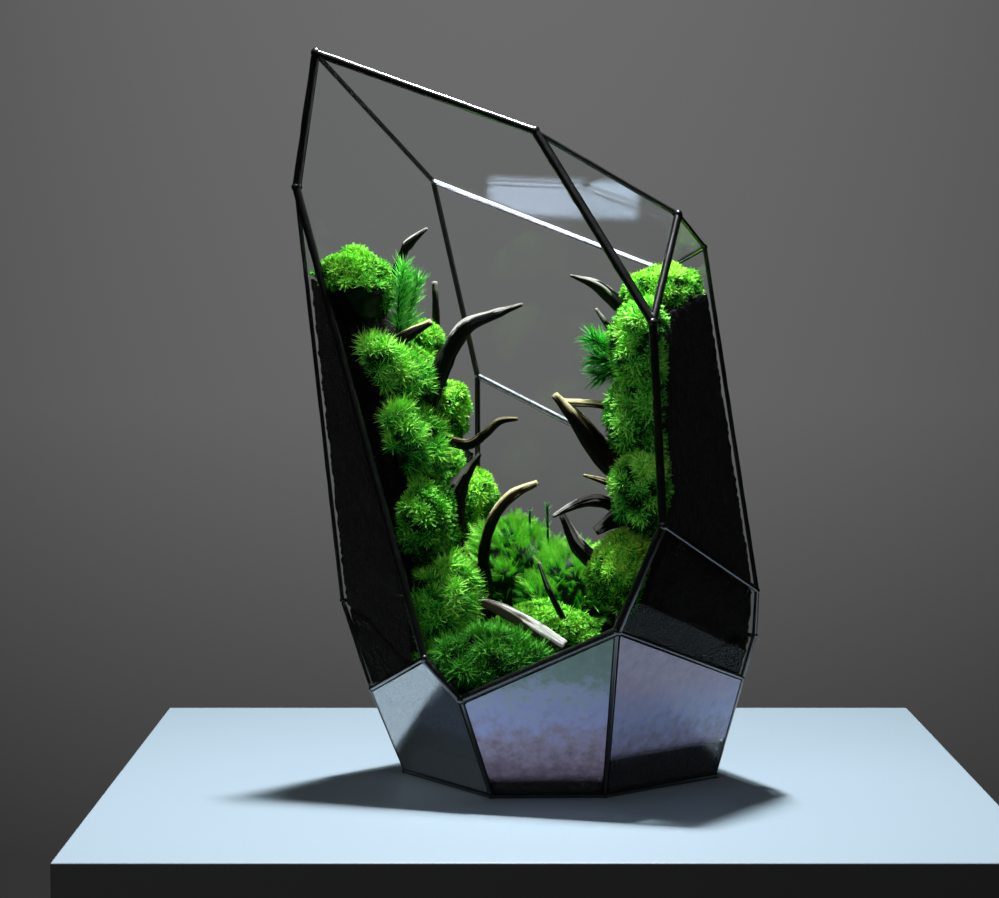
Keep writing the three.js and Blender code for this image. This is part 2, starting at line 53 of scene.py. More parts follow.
camera_data = bpy.data.cameras.new("camera")
camera_data.sensor_width = SENSOR
camera_data.lens = LENS
camera = bpy.data.objects.new("camera", camera_data)
camera.location = CAMERA_PLACE
camera.rotation_euler = (math.radians(90 - CAMERA_TILT), 0, 0)
scene.collection.objects.link(camera)
scene.camera = camera


# Plinth
# The exhibition plinth that the terrarium stands on: a box of painted board 600 mm square, pale on top and
# dark on its sides. It isn't part of the object.

PLINTH_X = (-0.284, 0.312)                # m, from side to side
PLINTH_Y = (-0.264, 0.340)                # m, from front to back
PLINTH_HEIGHT = 0.9
PLINTH_ROUNDING = 0.0015                  # m, where its edges are sanded
ORANGE_PEEL = 1.11                        # mm between the dimples that the roller left


def linear(colour):
    """An sRGB hex colour as linear red, green, blue and alpha."""
    parts = [int(colour[i:i + 2], 16) / 255 for i in (1, 3, 5)]
    return [c / 12.92 if c <= 0.04045 else ((c + 0.055) / 1.055) ** 2.4 for c in parts] + [1.0]


def new_material(name):
    material = bpy.data.materials.new(name)
    material.use_nodes = True
    material.node_tree.nodes.clear()
    return material


def add(material, kind, settings=None, inputs=None, links=None):
    """Adds a node. Settings go on the node, inputs on its sockets, and links join other sockets to them.

    Sockets that share a name, such as the numbers that a maths node works on, go by their index.
    """
    node = material.node_tree.nodes.new(kind)
    for key, value in (settings or {}).items():
        setattr(node, key, value)
    for key, value in (inputs or {}).items():
        node.inputs[key].default_value = value
    for key, socket in (links or {}).items():
        material.node_tree.links.new(socket, node.inputs[key])
    return node


def finish_material(material, shader):
    add(material, "ShaderNodeOutputMaterial", links={"Surface": shader})


def add_piece(name, bm, material):
    """A smooth-shaded mesh object from a bmesh, at the origin."""
    mesh = bpy.data.meshes.new(name)
    bm.to_mesh(mesh)
    bm.free()
    mesh.materials.append(material)
    mesh.shade_smooth()
    piece = bpy.data.objects.new(name, mesh)
    scene.collection.objects.link(piece)
    return piece


# Matt paint rolled on the top board: even, with a faint orange peel
plinth_paint = new_material("pale_matt_paint")
spot = add(plinth_paint, "ShaderNodeTexCoord").outputs["Object"]
peel = add(plinth_paint, "ShaderNodeTexNoise", inputs={"Scale": 1000 / ORANGE_PEEL}, links={"Vector": spot})
bump = add(plinth_paint, "ShaderNodeBump", inputs={"Strength": 0.05, "Distance": 0.0005},
           links={"Height": peel.outputs["Fac"]})
shader = add(plinth_paint, "ShaderNodeBsdfPrincipled",
             inputs={"Base Color": linear("#8a9ba3"), "Roughness": 0.5},
             links={"Normal": bump.outputs["Normal"]})
finish_material(plinth_paint, shader.outputs["BSDF"])

# The same paint in dark grey on the sides: duller, and nearly black in the shade
side_paint = new_material("dark_matt_paint")
shader = add(side_paint, "ShaderNodeBsdfPrincipled",
             inputs={"Base Color": linear("#3e3e3c"), "Roughness": 0.6})
finish_material(side_paint, shader.outputs["BSDF"])

bm = bmesh.new()
size = Vector((PLINTH_X[1] - PLINTH_X[0], PLINTH_Y[1] - PLINTH_Y[0], PLINTH_HEIGHT))
centre = Vector((sum(PLINTH_X) / 2, sum(PLINTH_Y) / 2, -PLINTH_HEIGHT / 2))
bmesh.ops.create_cube(bm, size=1.0, matrix=Matrix.Translation(centre) @ Matrix.Diagonal((*size, 1)))
bmesh.ops.bevel(bm, geom=bm.edges[:], offset=PLINTH_ROUNDING, segments=3, profile=0.5, affect="EDGES",
                material=-1)
for face in bm.faces:
    face.material_index = int(face.normal.z < 0.5)
plinth = add_piece("plinth", bm, plinth_paint)
plinth.data.materials.append(side_paint)


# Light
# One lamp high above throws the crystal's shadow round its foot and a weak soft box fills it from the
# front. A strip of window low behind shows only as the pale patch mirrored in the top pane. The room is
# dim: a grey wall behind whatever is looked at, and darkness where the glass mirrors it.

WALL_TONES = [(0.0, "#3c3c3c"), (0.23, "#515151"), (0.52, "#666666"), (1.0, "#6b6b6b")]
CEILING_TONES = [(0.0, "#0c0c0c"), (0.5, "#2c2c2c"), (1.0, "#6e6e6e")]
DARK_ROOM = "#101010"
MIX_SHARE, MIX_FIRST, MIX_SECOND = 0, 6, 7    # the sockets of a colour mix
WINDOW_BLUR = {"X": 0.07, "Y": 0.2}       # the share of the window's width and height over which it fades


def ramp(material, factor, stops):
    """A colour ramp over a factor, from (place, hex colour) stops."""
    node = add(material, "ShaderNodeValToRGB", links={"Fac": factor})
    elements = node.color_ramp.elements
    elements[0].position, elements[0].color = stops[0][0], linear(stops[0][1])
    elements[1].position, elements[1].color = stops[-1][0], linear(stops[-1][1])
    for place, colour in stops[1:-1]:
        elements.new(place).color = linear(colour)
    return node.outputs["Color"]


scene.view_settings.view_transform = "Standard"
world = bpy.data.worlds.new("grey_room")
scene.world = world
world.use_nodes = True
world.node_tree.nodes.clear()

# The wall behind is seen directly and through the panes, and darkens downwards and to both sides
way = add(world, "ShaderNodeTexCoord").outputs["Generated"]
axes = add(world, "ShaderNodeSeparateXYZ", links={"Vector": way})
height = add(world, "ShaderNodeMapRange", inputs={"From Min": -0.2, "From Max": 0.1},
             links={"Value": axes.outputs["Z"]})
wall = ramp(world, height.outputs["Result"], WALL_TONES)
aside = add(world, "ShaderNodeMath", {"operation": "POWER"}, {1: 2.0}, {0: axes.outputs["X"]})
dimmed = add(world, "ShaderNodeMapRange", inputs={"From Max": 0.045, "To Min": 1.0, "To Max": 0.6},
             links={"Value": aside.outputs["Value"]})
wall = add(world, "ShaderNodeVectorMath", {"operation": "SCALE"},
           links={0: wall, "Scale": dimmed.outputs["Result"]}).outputs["Vector"]

# The ceiling lights every matt surface, and mirrors show a dark room in its place
ceiling = ramp(world, axes.outputs["Z"], CEILING_TONES)
rays = add(world, "ShaderNodeLightPath")
seen = add(world, "ShaderNodeMath", {"operation": "MAXIMUM"},
           links={0: rays.outputs["Is Camera Ray"], 1: rays.outputs["Is Transmission Ray"]})
lit = add(world, "ShaderNodeMix", {"data_type": "RGBA"}, {MIX_SECOND: linear(DARK_ROOM)},
          {MIX_SHARE: rays.outputs["Is Glossy Ray"], MIX_FIRST: ceiling})
shown = add(world, "ShaderNodeMix", {"data_type": "RGBA"},
            links={MIX_SHARE: seen.outputs["Value"], MIX_FIRST: lit.outputs[2], MIX_SECOND: wall})
light = add(world, "ShaderNodeBackground", links={"Color": shown.outputs[2]})
add(world, "ShaderNodeOutputWorld", links={"Surface": light.outputs["Background"]})


def area_light(name, place, aim, size, watts, colour, roll=0.0):
    """A rectangular lamp aimed at a point, rolled by some degrees, that isn't seen itself."""
    data = bpy.data.lights.new(name, "AREA")
    data.shape = "RECTANGLE"
    data.size, data.size_y = size
    data.energy = watts
    data.color = linear(colour)[:3]
    light = bpy.data.objects.new(name, data)
    light.location = place
    light.rotation_mode = "QUATERNION"
    aimed = (Vector(aim) - Vector(place)).to_track_quat("-Z", "Y")
    light.rotation_quaternion = aimed @ Quaternion((0, 0, 1), math.radians(roll))
    light.visible_camera = False
    scene.collection.objects.link(light)
    return light


area_light("ceiling_lamp", place=(-0.036, 0.063, 1.536), aim=(0, 0, 0.2), size=(0.09, 0.09), watts=62,
           colour="#f6f8ff")
front_fill = area_light("front_fill", place=(-0.9, -2.2, 0.7), aim=(0, 0, 0.25), size=(1.4, 1.4), watts=13,
                        colour="#f4f6ff")
front_fill.visible_glossy = False
window_behind = area_light("window_behind", place=(-0.269, 0.652, -0.158), aim=(0.025, 0.006, 0.396),
                           size=(0.16, 0.046), watts=0.27, colour="#cfe2ff", roll=-117)

# The window is out of focus, so its mirror image fades towards its edges
window = window_behind.data
window.use_nodes = True
window.node_tree.nodes.clear()
across = add(window, "ShaderNodeSeparateXYZ",
             links={"Vector": add(window, "ShaderNodeNewGeometry").outputs["Parametric"]})
faded = []
for axis, blur in WINDOW_BLUR.items():
    inside = add(window, "ShaderNodeMath", {"operation": "PINGPONG"}, {1: 0.5}, {0: across.outputs[axis]})
    faded.append(add(window, "ShaderNodeMapRange", {"interpolation_type": "SMOOTHSTEP"},
                     {"From Max": blur}, {"Value": inside.outputs["Value"]}).outputs["Result"])
glow = add(window, "ShaderNodeMath", {"operation": "MULTIPLY"}, links={0: faded[0], 1: faded[1]})
glow = add(window, "ShaderNodeEmission", links={"Strength": glow.outputs["Value"]})
add(window, "ShaderNodeOutputLight", links={"Surface": glow.outputs["Emission"]})


# Glass panes
# Clear sheet glass 3 mm thick, cut to each facet and held by the solder on its edges. It is damp inside,
# so the lower panes carry a bloom of lime and droplets. Over the bloom, pale tones by height are painted
# reflection of the lit plinth that the lower panes would mirror.

SMEAR = 7.69                              # mm, how wide the smears of the bloom are
BLOOM_AND_REFLECTION_EDGE = 0.009                        # m over which the bloom sets in above the foot
BLOOM_AND_REFLECTION_SHARES = (0.72, 1.08)               # how thick it is where it is thin and where it is full
REFLECTION_TONE_WANDER = 0.08                       # m by which its tones stray up and down
CLEAR_SHADE = "#f2f6f5"                   # what a lamp's light becomes on its way through a pane
BLOOMED_SHADE = "#50545a"


def float_glass(name, index, bloom_and_reflection=0.0, foot=0.0, reflection_tones=()):
    """Float glass: colourless, with sharp reflections, as strong as its index of refraction makes them.

    The film is a bloom of lime from the height of the foot upwards, and its pale tones by height are painted
    reflection of the lit plinth.
    """
    material = new_material(name)
    shader = add(material, "ShaderNodeBsdfPrincipled",
                 inputs={"Base Color": linear("#fbfefd"), "IOR": index, "Roughness": 0.0,
                         "Transmission Weight": 1.0}).outputs["BSDF"]
    if bloom_and_reflection:
        # smears that break up into specks of a millimetre, greener where moss touches the pane
        spot = add(material, "ShaderNodeTexCoord").outputs["Object"]
        level = add(material, "ShaderNodeSeparateXYZ", links={"Vector": spot}).outputs["Z"]
        rise = add(material, "ShaderNodeMapRange", {"interpolation_type": "SMOOTHSTEP"},
                   {"From Min": foot, "From Max": foot + BLOOM_AND_REFLECTION_EDGE, "To Max": bloom_and_reflection}, {"Value": level})
        smear = add(material, "ShaderNodeTexNoise",
                    inputs={"Scale": 1000 / SMEAR, "Detail": 7.0, "Roughness": 0.62}, links={"Vector": spot})
        uneven = add(material, "ShaderNodeMapRange",
                     inputs={"From Min": 0.3, "From Max": 0.7, "To Min": BLOOM_AND_REFLECTION_SHARES[0],
                             "To Max": BLOOM_AND_REFLECTION_SHARES[1]},
                     links={"Value": smear.outputs["Fac"]})
        amount = add(material, "ShaderNodeMath", {"operation": "MULTIPLY", "use_clamp": True},
                     links={0: rise.outputs["Result"], 1: uneven.outputs["Result"]})
        # painted reflection: pale blue and lavender tones by height, where the panes would mirror the lit
        # plinth
        wander = add(material, "ShaderNodeMath", {"operation": "MULTIPLY_ADD"}, {1: REFLECTION_TONE_WANDER},
                     {0: smear.outputs["Fac"], 2: level})
        reflected_tone = ramp(material, wander.outputs["Value"], reflection_tones)
        bloom = add(material, "ShaderNodeBsdfPrincipled", inputs={"Roughness": 0.35},
                    links={"Base Color": reflected_tone})
        shader = add(material, "ShaderNodeMixShader", links={
            0: amount.outputs["Value"], 1: shader, 2: bloom.outputs["BSDF"]}).outputs["Shader"]
    shade = BLOOMED_SHADE if bloom_and_reflection > 0.5 else CLEAR_SHADE
    through = add(material, "ShaderNodeBsdfTransparent", inputs={"Color": linear(shade)})
    rays = add(material, "ShaderNodeLightPath")
    either = add(material, "ShaderNodeMixShader", links={
        0: rays.outputs["Is Shadow Ray"], 1: shader, 2: through.outputs["BSDF"]})
    finish_material(material, either.outputs["Shader"])
    return material


# How strongly a pane mirrors is matched to its looks: the clear ones a little, the sloping top and those in
# front of soil still less, and the wet one at the lower left strongly
clear_glass = float_glass("float_glass", 1.18)
bank_glass = float_glass("soil_backed_float_glass", 1.1)
bank_panes = ("glass_left", "glass_right", "glass_right_low", "glass_corner_left", "glass_corner_right")
pane_glass = {
    "glass_top": float_glass("sloping_float_glass", 1.09),
    # the films' tones below are painted reflection of the lit plinth, in bands by height
    "glass_skirt_left": float_glass(
        "wet_float_glass", 3.1, bloom_and_reflection=0.04, foot=0.04, reflection_tones=[(0.04, "#a9bdf0"), (0.12, "#b4ccff")]),
    "glass_skirt_front": float_glass(
        "bloomed_float_glass", 1.3, bloom_and_reflection=0.9, foot=0.011, reflection_tones=[
            (0.05, "#a592a6"), (0.08, "#c4b8d2"), (0.1, "#b9c0f0"), (0.118, "#a9b6cc"),
            (0.132, "#7d968f"), (0.16, "#74907f")]),
    "glass_skirt_right": float_glass(
        "half_bloomed_float_glass", 1.3, bloom_and_reflection=0.85, foot=0.026, reflection_tones=[
            (0.06, "#c8b6d0"), (0.095, "#c6d0ff"), (0.12, "#cdbcd8"), (0.16, "#c2b2c8")]),
}

panes = [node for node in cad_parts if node.startswith("glass_")]
for name in panes:
    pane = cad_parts[name]
    pane.data.materials.clear()
    pane.data.materials.append(pane_glass.get(name, bank_glass if name in bank_panes else clear_glass))


# Solder
# Tin and lead run by hand along copper foil on every edge, then blackened with patina. The bead round the
# window is the heaviest, and the foot's ring is filed flat so that it stands level.

SHIFT = Vector((0.8, 0.8, 1.8))           # mm from where the corners are given to the part's frame
corner = {
    "apex": (-141, -21, 495), "crown": (5, -76, 440), "shoulder": (99, -70, 386),
    "horn": (118, -45, 365), "brow": (80, -114, 316), "ear": (-154, -27, 405),
    "nape": (-65, 72, 413), "spine": (-34, 118, 274), "tail": (95, 20, 350),
    "hip": (155, -36, 135), "elbow": (86, -131, 187), "sillRight": (57, -128, 119),
    "sillLeft": (-43, -101, 71), "jamb": (-67, -90, 96), "kneeLeft": (-106, 7, 62),
    "flankLeft": (-127, 28, 121), "kneeRight": (155, -21, 103), "shinRight": (147, -14, 73),
    "backRight": (94, 82, 210), "heelLeft": (-34, 132, 117), "heelRight": (112, 87, 96),
    "footA": (131, 19, 0), "footB": (52, -56, 0), "footC": (-23, -58, 0),
    "footD": (-84, 39, 0), "footE": (-16, 117, 0), "footF": (107, 80, 0),
}
window_loop = ["apex", "crown", "brow", "elbow", "sillRight", "sillLeft", "jamb", "ear"]
foot_loop = ["footA", "footB", "footC", "footD", "footE", "footF"]
front_legs = [("footB", "sillRight"), ("footC", "sillLeft")]
seam_edges = [
    ("crown", "shoulder"), ("shoulder", "horn"), ("horn", "tail"), ("tail", "nape"), ("nape", "apex"),
    ("brow", "shoulder"), ("horn", "hip"), ("hip", "elbow"), ("hip", "kneeRight"),
    ("kneeRight", "shinRight"), ("shinRight", "sillRight"), ("jamb", "kneeLeft"),
    ("kneeLeft", "flankLeft"), ("flankLeft", "ear"), ("nape", "spine"), ("spine", "heelLeft"),
    ("heelLeft", "flankLeft"), ("tail", "backRight"), ("backRight", "spine"),
    ("backRight", "heelRight"), ("heelRight", "heelLeft"), ("heelRight", "kneeRight"),
    ("shinRight", "footA"), ("footD", "kneeLeft"), ("flankLeft", "footD"), ("footE", "heelLeft"),
    ("kneeRight", "footA"), ("footF", "heelRight"),
]
bare_edges = {("tail", "nape"), ("backRight", "spine")}
RIM_RADIUS = 2.8                          # mm, as are all radii of beads
BROW_RADIUS = 2.2
SEAM_RADIUS = 1.5
BARE_RADIUS = 1.1
FOOT_RADIUS = 2.4
RIM_KNOT, FOOT_KNOT, SEAM_KNOT = 1.18, 1.2, 1.35    # how much wider a knot is than the beads it joins
BEAD_SIDES = 12
BEAD_STEP = 6.0                           # mm along the bead between its rings
LONG_SWELLS = (0.12, 90)                  # a share of the radius, and how many to the metre
SHORT_SWELLS = (0.07, 260)
KNOT_SWELLS = (0.1, 300)
BARE_REACH = 0.005                        # m from a bare seam within which the foil is bare as well
PATINA_MOTTLE = 3.85                      # mm between dark and pale patches
RIPPLE = 2.38                             # mm between the ripples that the iron left
BLACKENED, BARE = 1, 2                    # the places of foil and tin among a pane's materials


def metres(point):
    """A point of the crystal in millimetres, as metres in the part's frame."""
    return (Vector(point) + SHIFT) / 1000


# Blackened solder: dark, slightly glossy, mottled where the patina took unevenly
black_solder = new_material("black_patina_solder")
spot = add(black_solder, "ShaderNodeTexCoord").outputs["Object"]
mottle = add(black_solder, "ShaderNodeTexNoise", inputs={"Scale": 1000 / PATINA_MOTTLE, "Detail": 5.0},
             links={"Vector": spot})
shade = ramp(black_solder, mottle.outputs["Fac"], [(0.3, "#040404"), (0.55, "#090909"), (0.75, "#151516")])
gloss = add(black_solder, "ShaderNodeMapRange", inputs={"To Min": 0.22, "To Max": 0.5},
            links={"Value": mottle.outputs["Fac"]})
ripples = add(black_solder, "ShaderNodeTexNoise", inputs={"Scale": 1000 / RIPPLE, "Detail": 3.0},
              links={"Vector": spot})
bump = add(black_solder, "ShaderNodeBump", inputs={"Strength": 0.35, "Distance": 0.0004},
           links={"Height": ripples.outputs["Fac"]})
shader = add(black_solder, "ShaderNodeBsdfPrincipled",
             inputs={"Metallic": 0.2, "Coat Weight": 1.0, "Coat Roughness": 0.26, "Coat IOR": 1.8},
             links={"Base Color": shade, "Roughness": gloss.outputs["Result"],
                    "Normal": bump.outputs["Normal"]})
finish_material(black_solder, shader.outputs["BSDF"])

# Copper foil wrapped round the cut edges of every pane and blackened with the solder: dull and dark, so
# that no edge of the glass lights up
black_foil = new_material("black_patina_foil")
shader = add(black_foil, "ShaderNodeBsdfPrincipled",
             inputs={"Base Color": linear("#0b0b0b"), "Metallic": 0.2, "Roughness": 0.5})
finish_material(black_foil, shader.outputs["BSDF"])

# Bare solder: the two long seams at the back kept their tin, dulled, and catch the lamp from end to end
bare_solder = new_material("dull_tin_solder")
spot = add(bare_solder, "ShaderNodeTexCoord").outputs["Object"]
mottle = add(bare_solder, "ShaderNodeTexNoise", inputs={"Scale": 1000 / PATINA_MOTTLE, "Detail": 5.0},
             links={"Vector": spot})
shade = ramp(bare_solder, mottle.outputs["Fac"], [(0.3, "#7d8187"), (0.6, "#b4b8c0")])
shader = add(bare_solder, "ShaderNodeBsdfPrincipled", inputs={"Metallic": 0.8, "Roughness": 0.45},
             links={"Base Color": shade})
finish_material(bare_solder, shader.outputs["BSDF"])


def bare_at(spot):
    """Whether a place is near a seam that kept its bare tin."""
    for names in bare_edges:
        start, end = (metres(corner[name]) for name in names)
        share = min(1.0, max(0.0, (spot - start).dot(end - start) / (end - start).length_squared))
        if (start + (end - start) * share - spot).length < BARE_REACH:
            return True
    return False


# A pane's cut edges are the faces that don't look the way its largest face does
for name in panes:
    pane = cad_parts[name].data
    pane.materials.append(black_foil)
    pane.materials.append(bare_solder)
    facing = max(pane.polygons, key=lambda face: face.area).normal.copy()
    for face in pane.polygons:
        if abs(face.normal.dot(facing)) < 0.9:
            face.material_index = BARE if bare_at(face.center) else BLACKENED


def edges_among(verts):
    """The edges that join some vertices to each other."""
    touching = {edge for vert in verts for edge in vert.link_edges}
    return [edge for edge in touching if edge.verts[0] in verts and edge.verts[1] in verts]


def extruded(bm, ring):
    """A new ring of corners grown from an open ring, in the same places."""
    grown = bmesh.ops.extrude_edge_only(bm, edges=edges_among(ring))["geom"]
    return [part for part in grown if isinstance(part, bmesh.types.BMVert)]


def hand_run(place, *swells):
    """How much thicker or thinner than even the solder came out at a place."""
    return 1 + sum(share * noise.noise(place * to_the_metre) for share, to_the_metre in swells)


def bead(bm, start, end, radius):
    """A bead from corner to corner, of rings that swell and thin as hand-run solder does."""
    line = end - start
    steps = max(3, round(line.length * 1000 / BEAD_STEP))
    turn = line.to_track_quat("Z", "Y").to_matrix().to_4x4()
    ring = bmesh.ops.create_circle(bm, cap_ends=False, segments=BEAD_SIDES, radius=radius,
                                   matrix=Matrix.Translation(start) @ turn)["verts"]
    verts = list(ring)
    for _ in range(steps):
        ring = extruded(bm, ring)
        bmesh.ops.translate(bm, vec=line / steps, verts=ring)
        verts += ring
    for vert in verts:
        foot = start + line * ((vert.co - start).dot(line) / line.length_squared)
        vert.co = foot + (vert.co - foot) * hand_run(foot, LONG_SWELLS, SHORT_SWELLS)


def knob(bm, place, radius):
    """The rounded knot of solder where beads meet."""
    made = bmesh.ops.create_icosphere(bm, subdivisions=3, radius=radius, matrix=Matrix.Translation(place))
    for vert in made["verts"]:
        vert.co = place + (vert.co - place) * hand_run(vert.co, KNOT_SWELLS)


def solder_run(name, edges, radius_of, node, knot):
    """The beads along some edges of the crystal, joined by knots and kept above the ground."""
    bm = bmesh.new()
    widest = {}
    for start, end in edges:
        radius = radius_of(start, end)
        made = len(bm.faces)
        bead(bm, metres(corner[start]), metres(corner[end]), radius / 1000)
        bm.faces.ensure_lookup_table()
        for face in bm.faces[made:]:
            face.material_index = int((start, end) in bare_edges)
        for joint in (start, end):
            widest[joint] = max(radius, widest.get(joint, 0))
    for joint, radius in widest.items():
        knob(bm, metres(corner[joint]), radius * knot / 1000)
    for vert in bm.verts:
        vert.co.z = max(vert.co.z, 0)
    run = add_piece(name, bm, black_solder)
    run.data.materials.append(bare_solder)
    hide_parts(node)
    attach(run, "root")


def ring_of(names):
    """The edges of a closed loop of corners."""
    return [(names[i], names[(i + 1) % len(names)]) for i in range(len(names))]


def foot_radius(*ends):
    return FOOT_RADIUS if all(end in foot_loop for end in ends) else SEAM_RADIUS


def seam_radius(*ends):
    if ends == ("brow", "shoulder"):
        return BROW_RADIUS
    return BARE_RADIUS if ends in bare_edges else SEAM_RADIUS


solder_run("rim_bead", ring_of(window_loop), lambda *ends: RIM_RADIUS, "window_rim", RIM_KNOT)
solder_run("foot_bead", ring_of(foot_loop) + front_legs, foot_radius, "base_rim", FOOT_KNOT)
solder_run("seam_beads", seam_edges, seam_radius, "solder_seams", SEAM_KNOT)


# Drainage grit
# A layer of dark lava grit, poured loose on the base pane before the soil, that takes the spare water. From
# the front the bloom on the low panes hides it, and from behind it is a dark band along the foot.

GRIT_GRAIN = 3.03                         # mm

# Lava grit: dull dark grains of 2 to 4 mm, drawn as cells
lava_grit = new_material("lava_grit")
spot = add(lava_grit, "ShaderNodeTexCoord").outputs["Object"]
grains = add(lava_grit, "ShaderNodeTexVoronoi", inputs={"Scale": 1000 / GRIT_GRAIN}, links={"Vector": spot})
shade = ramp(lava_grit, grains.outputs["Color"], [(0.2, "#0e0d0c"), (0.6, "#1a1816"), (0.9, "#2a2622")])
bump = add(lava_grit, "ShaderNodeBump", {"invert": True}, {"Strength": 1.0, "Distance": 0.0015},
           {"Height": grains.outputs["Distance"]})
shader = add(lava_grit, "ShaderNodeBsdfPrincipled", inputs={"Roughness": 0.92},
             links={"Base Color": shade, "Normal": bump.outputs["Normal"]})
finish_material(lava_grit, shader.outputs["BSDF"])
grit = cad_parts["drainage_grit"]
grit.data.materials.clear()
grit.data.materials.append(lava_grit)


# Soil
# Damp black substrate, pressed against the panes on both sides and raked down into a floor between them.
# It crumbles into grains of a millimetre or two.

SOIL_MESH = 0.0026                        # m, the mesh of the crumbled surface
SOIL_RELIEF = 0.0022                      # m, how deep the hollows between crumbs go
CRUMBS = 330                              # to the metre
LUMPS = 120                               # of crumbs that cling together, to the metre
PEAT_CRUMB = 3.85                         # mm, the largest, which break up into smaller ones
PEAT_PATCH = 7.14                         # mm between darker and paler patches

# Damp peat and bark fines: almost black, matt, with a few paler fibres
black_soil = new_material("damp_peat")
spot = add(black_soil, "ShaderNodeTexCoord").outputs["Object"]
crumbs = add(black_soil, "ShaderNodeTexVoronoi",
             inputs={"Scale": 1000 / PEAT_CRUMB, "Detail": 2.5, "Roughness": 0.7}, links={"Vector": spot})
patches = add(black_soil, "ShaderNodeTexNoise",
              inputs={"Scale": 1000 / PEAT_PATCH, "Detail": 8.0, "Roughness": 0.7}, links={"Vector": spot})
shade = ramp(black_soil, patches.outputs["Fac"],
             [(0.35, "#050404"), (0.55, "#0e0b09"), (0.68, "#1c1610"), (0.8, "#3d3226")])
bump = add(black_soil, "ShaderNodeBump", {"invert": True}, {"Strength": 0.9, "Distance": 0.001},
           {"Height": crumbs.outputs["Distance"]})
shader = add(black_soil, "ShaderNodeBsdfPrincipled",
             inputs={"Roughness": 0.85, "Specular IOR Level": 0.1},
             links={"Base Color": shade, "Normal": bump.outputs["Normal"]})
finish_material(black_soil, shader.outputs["BSDF"])


def merged(node):
    """A CAD node's mesh as a bmesh with its corners joined."""
    bm = bmesh.new()
    bm.from_mesh(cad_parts[node].data)
    bmesh.ops.remove_doubles(bm, verts=bm.verts[:], dist=1e-6)
    return bm


def remeshed(name, bm, material, grain):
    """The piece with an even mesh of small faces, so that it can be carved."""
    piece = add_piece(name, bm, material)
    even = piece.modifiers.new("even", "REMESH")
    even.mode = "VOXEL"
    even.voxel_size = grain
    applied = bpy.data.meshes.new_from_object(piece.evaluated_get(bpy.context.evaluated_depsgraph_get()))
    piece.modifiers.clear()
    piece.data = applied
    applied.name = name
    return piece


for node in ("soil_floor", "soil_bank_left", "soil_bank_right"):
    heap = remeshed(node.replace("soil", "crumbled"), merged(node), black_soil, SOIL_MESH)
    inward = [-vert.normal for vert in heap.data.vertices]
    for vert, way in zip(heap.data.vertices, inward):
        hollow = 0.5 + 0.5 * noise.noise(vert.co * CRUMBS) + 0.3 * noise.noise(vert.co * LUMPS)
        vert.co += way * SOIL_RELIEF * max(0.0, hollow)
    heap.data.shade_smooth()
    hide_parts(node)
    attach(heap, "root")


# Driftwood
# Thin bent branches of weathered wood pushed into the banks, dark and cracked along the grain, with worn
# pale ridges. One is a barkless grey stick that lies on the floor moss.

# Each branch's path through the air and its radius along it, all in mm
branches = {
    "hook": ([(-101, 14, 318), (-84, 2, 360), (-79, -2, 368), (-67, -6, 378)], [4, 3, 3.4, 1]),
    "post": ([(-66, 44, 280), (-62, 38, 300), (-62, 36, 320), (-63, 34, 342)], [3, 2.8, 2.4, 2]),
    "arch": ([(-104, -6, 283), (-92, -12, 297), (-80, -18, 306), (-64, -24, 315)], [4.5, 5.5, 4, 2]),
    "limb": ([(-78, 8, 232), (-69, -5, 255), (-60, -14, 279), (-51, -20, 297), (-40, -26, 312),
              (-22, -34, 320), (-3, -42, 327)], [8, 8.2, 7.4, 6, 4.8, 3.4, 1.2]),
    "snake": ([(-76, -8, 240), (-64, -20, 237), (-50, -26, 234), (-38, -30, 233), (-28, -34, 240),
               (-18, -40, 249), (-6, -46, 251)], [3.5, 3.6, 3.4, 3.6, 3, 2.6, 1.2]),
    "stump": ([(-56, 2, 146), (-50, -18, 166), (-49, -24, 188), (-45, -28, 206), (-31, -34, 227)],
              [6, 7, 7.2, 6, 1.4]),
    "finger": ([(-23, 8, 100), (-27, -16, 138), (-29, -23, 155), (-26, -26, 172), (-20, -32, 187),
                (-8, -36, 200), (7, -42, 208)], [4, 4.2, 4, 3.8, 3.8, 3.6, 2]),
    "log": ([(-31, -53, 130), (-10, -60, 122), (6, -65, 113), (25, -69, 102)], [3.2, 4.6, 4.8, 3.6]),
    "tusk": ([(84, -28, 306), (70, -36, 320), (59, -40, 329), (46, -48, 340), (29, -56, 346)],
             [6, 6.2, 5.4, 3.8, 0.9]),
    "blade": ([(88, -46, 200), (69, -54, 213), (52, -60, 228), (34, -66, 250), (18, -72, 268)],
              [8, 9, 8.6, 6.6, 2.4]),
    "splinter": ([(84, -70, 196), (66, -76, 203), (52, -80, 211), (37, -84, 216)], [2.6, 2.6, 2.2, 1]),
    "claw": ([(86, -50, 162), (74, -58, 178), (63, -62, 191), (48, -64, 198), (34, -68, 196),
              (17, -72, 188)], [4.5, 4.8, 4.6, 4.2, 3.2, 1.2]),
    "straw": ([(34, -52, 98), (24, -58, 119), (14, -62, 140), (8, -64, 157)], [2.2, 2, 1.8, 1]),
}
# The second arm that three of them have, and the mass of roots that the claw grows from
forks = {
    "tusk": ([(80, -30, 304), (67, -36, 299), (56, -38, 311), (46, -40, 324)], [3.4, 3, 2.4, 1]),
    "blade": ([(84, -50, 244), (68, -58, 252), (49, -64, 261), (24, -70, 263)], [3, 3.2, 2.8, 2.4]),
    "claw": ([(66, -48, 140), (50, -56, 153), (34, -63, 168), (23, -69, 189)], [4, 5.5, 5.5, 2]),
}
root_mass = ([(88, -66, 198), (74, -68, 192), (60, -70, 187), (45, -71, 178)], [7, 8, 7, 3])
WOOD_SIDES = 22
WOOD_STEP = 1.6                           # mm between the rings of a branch
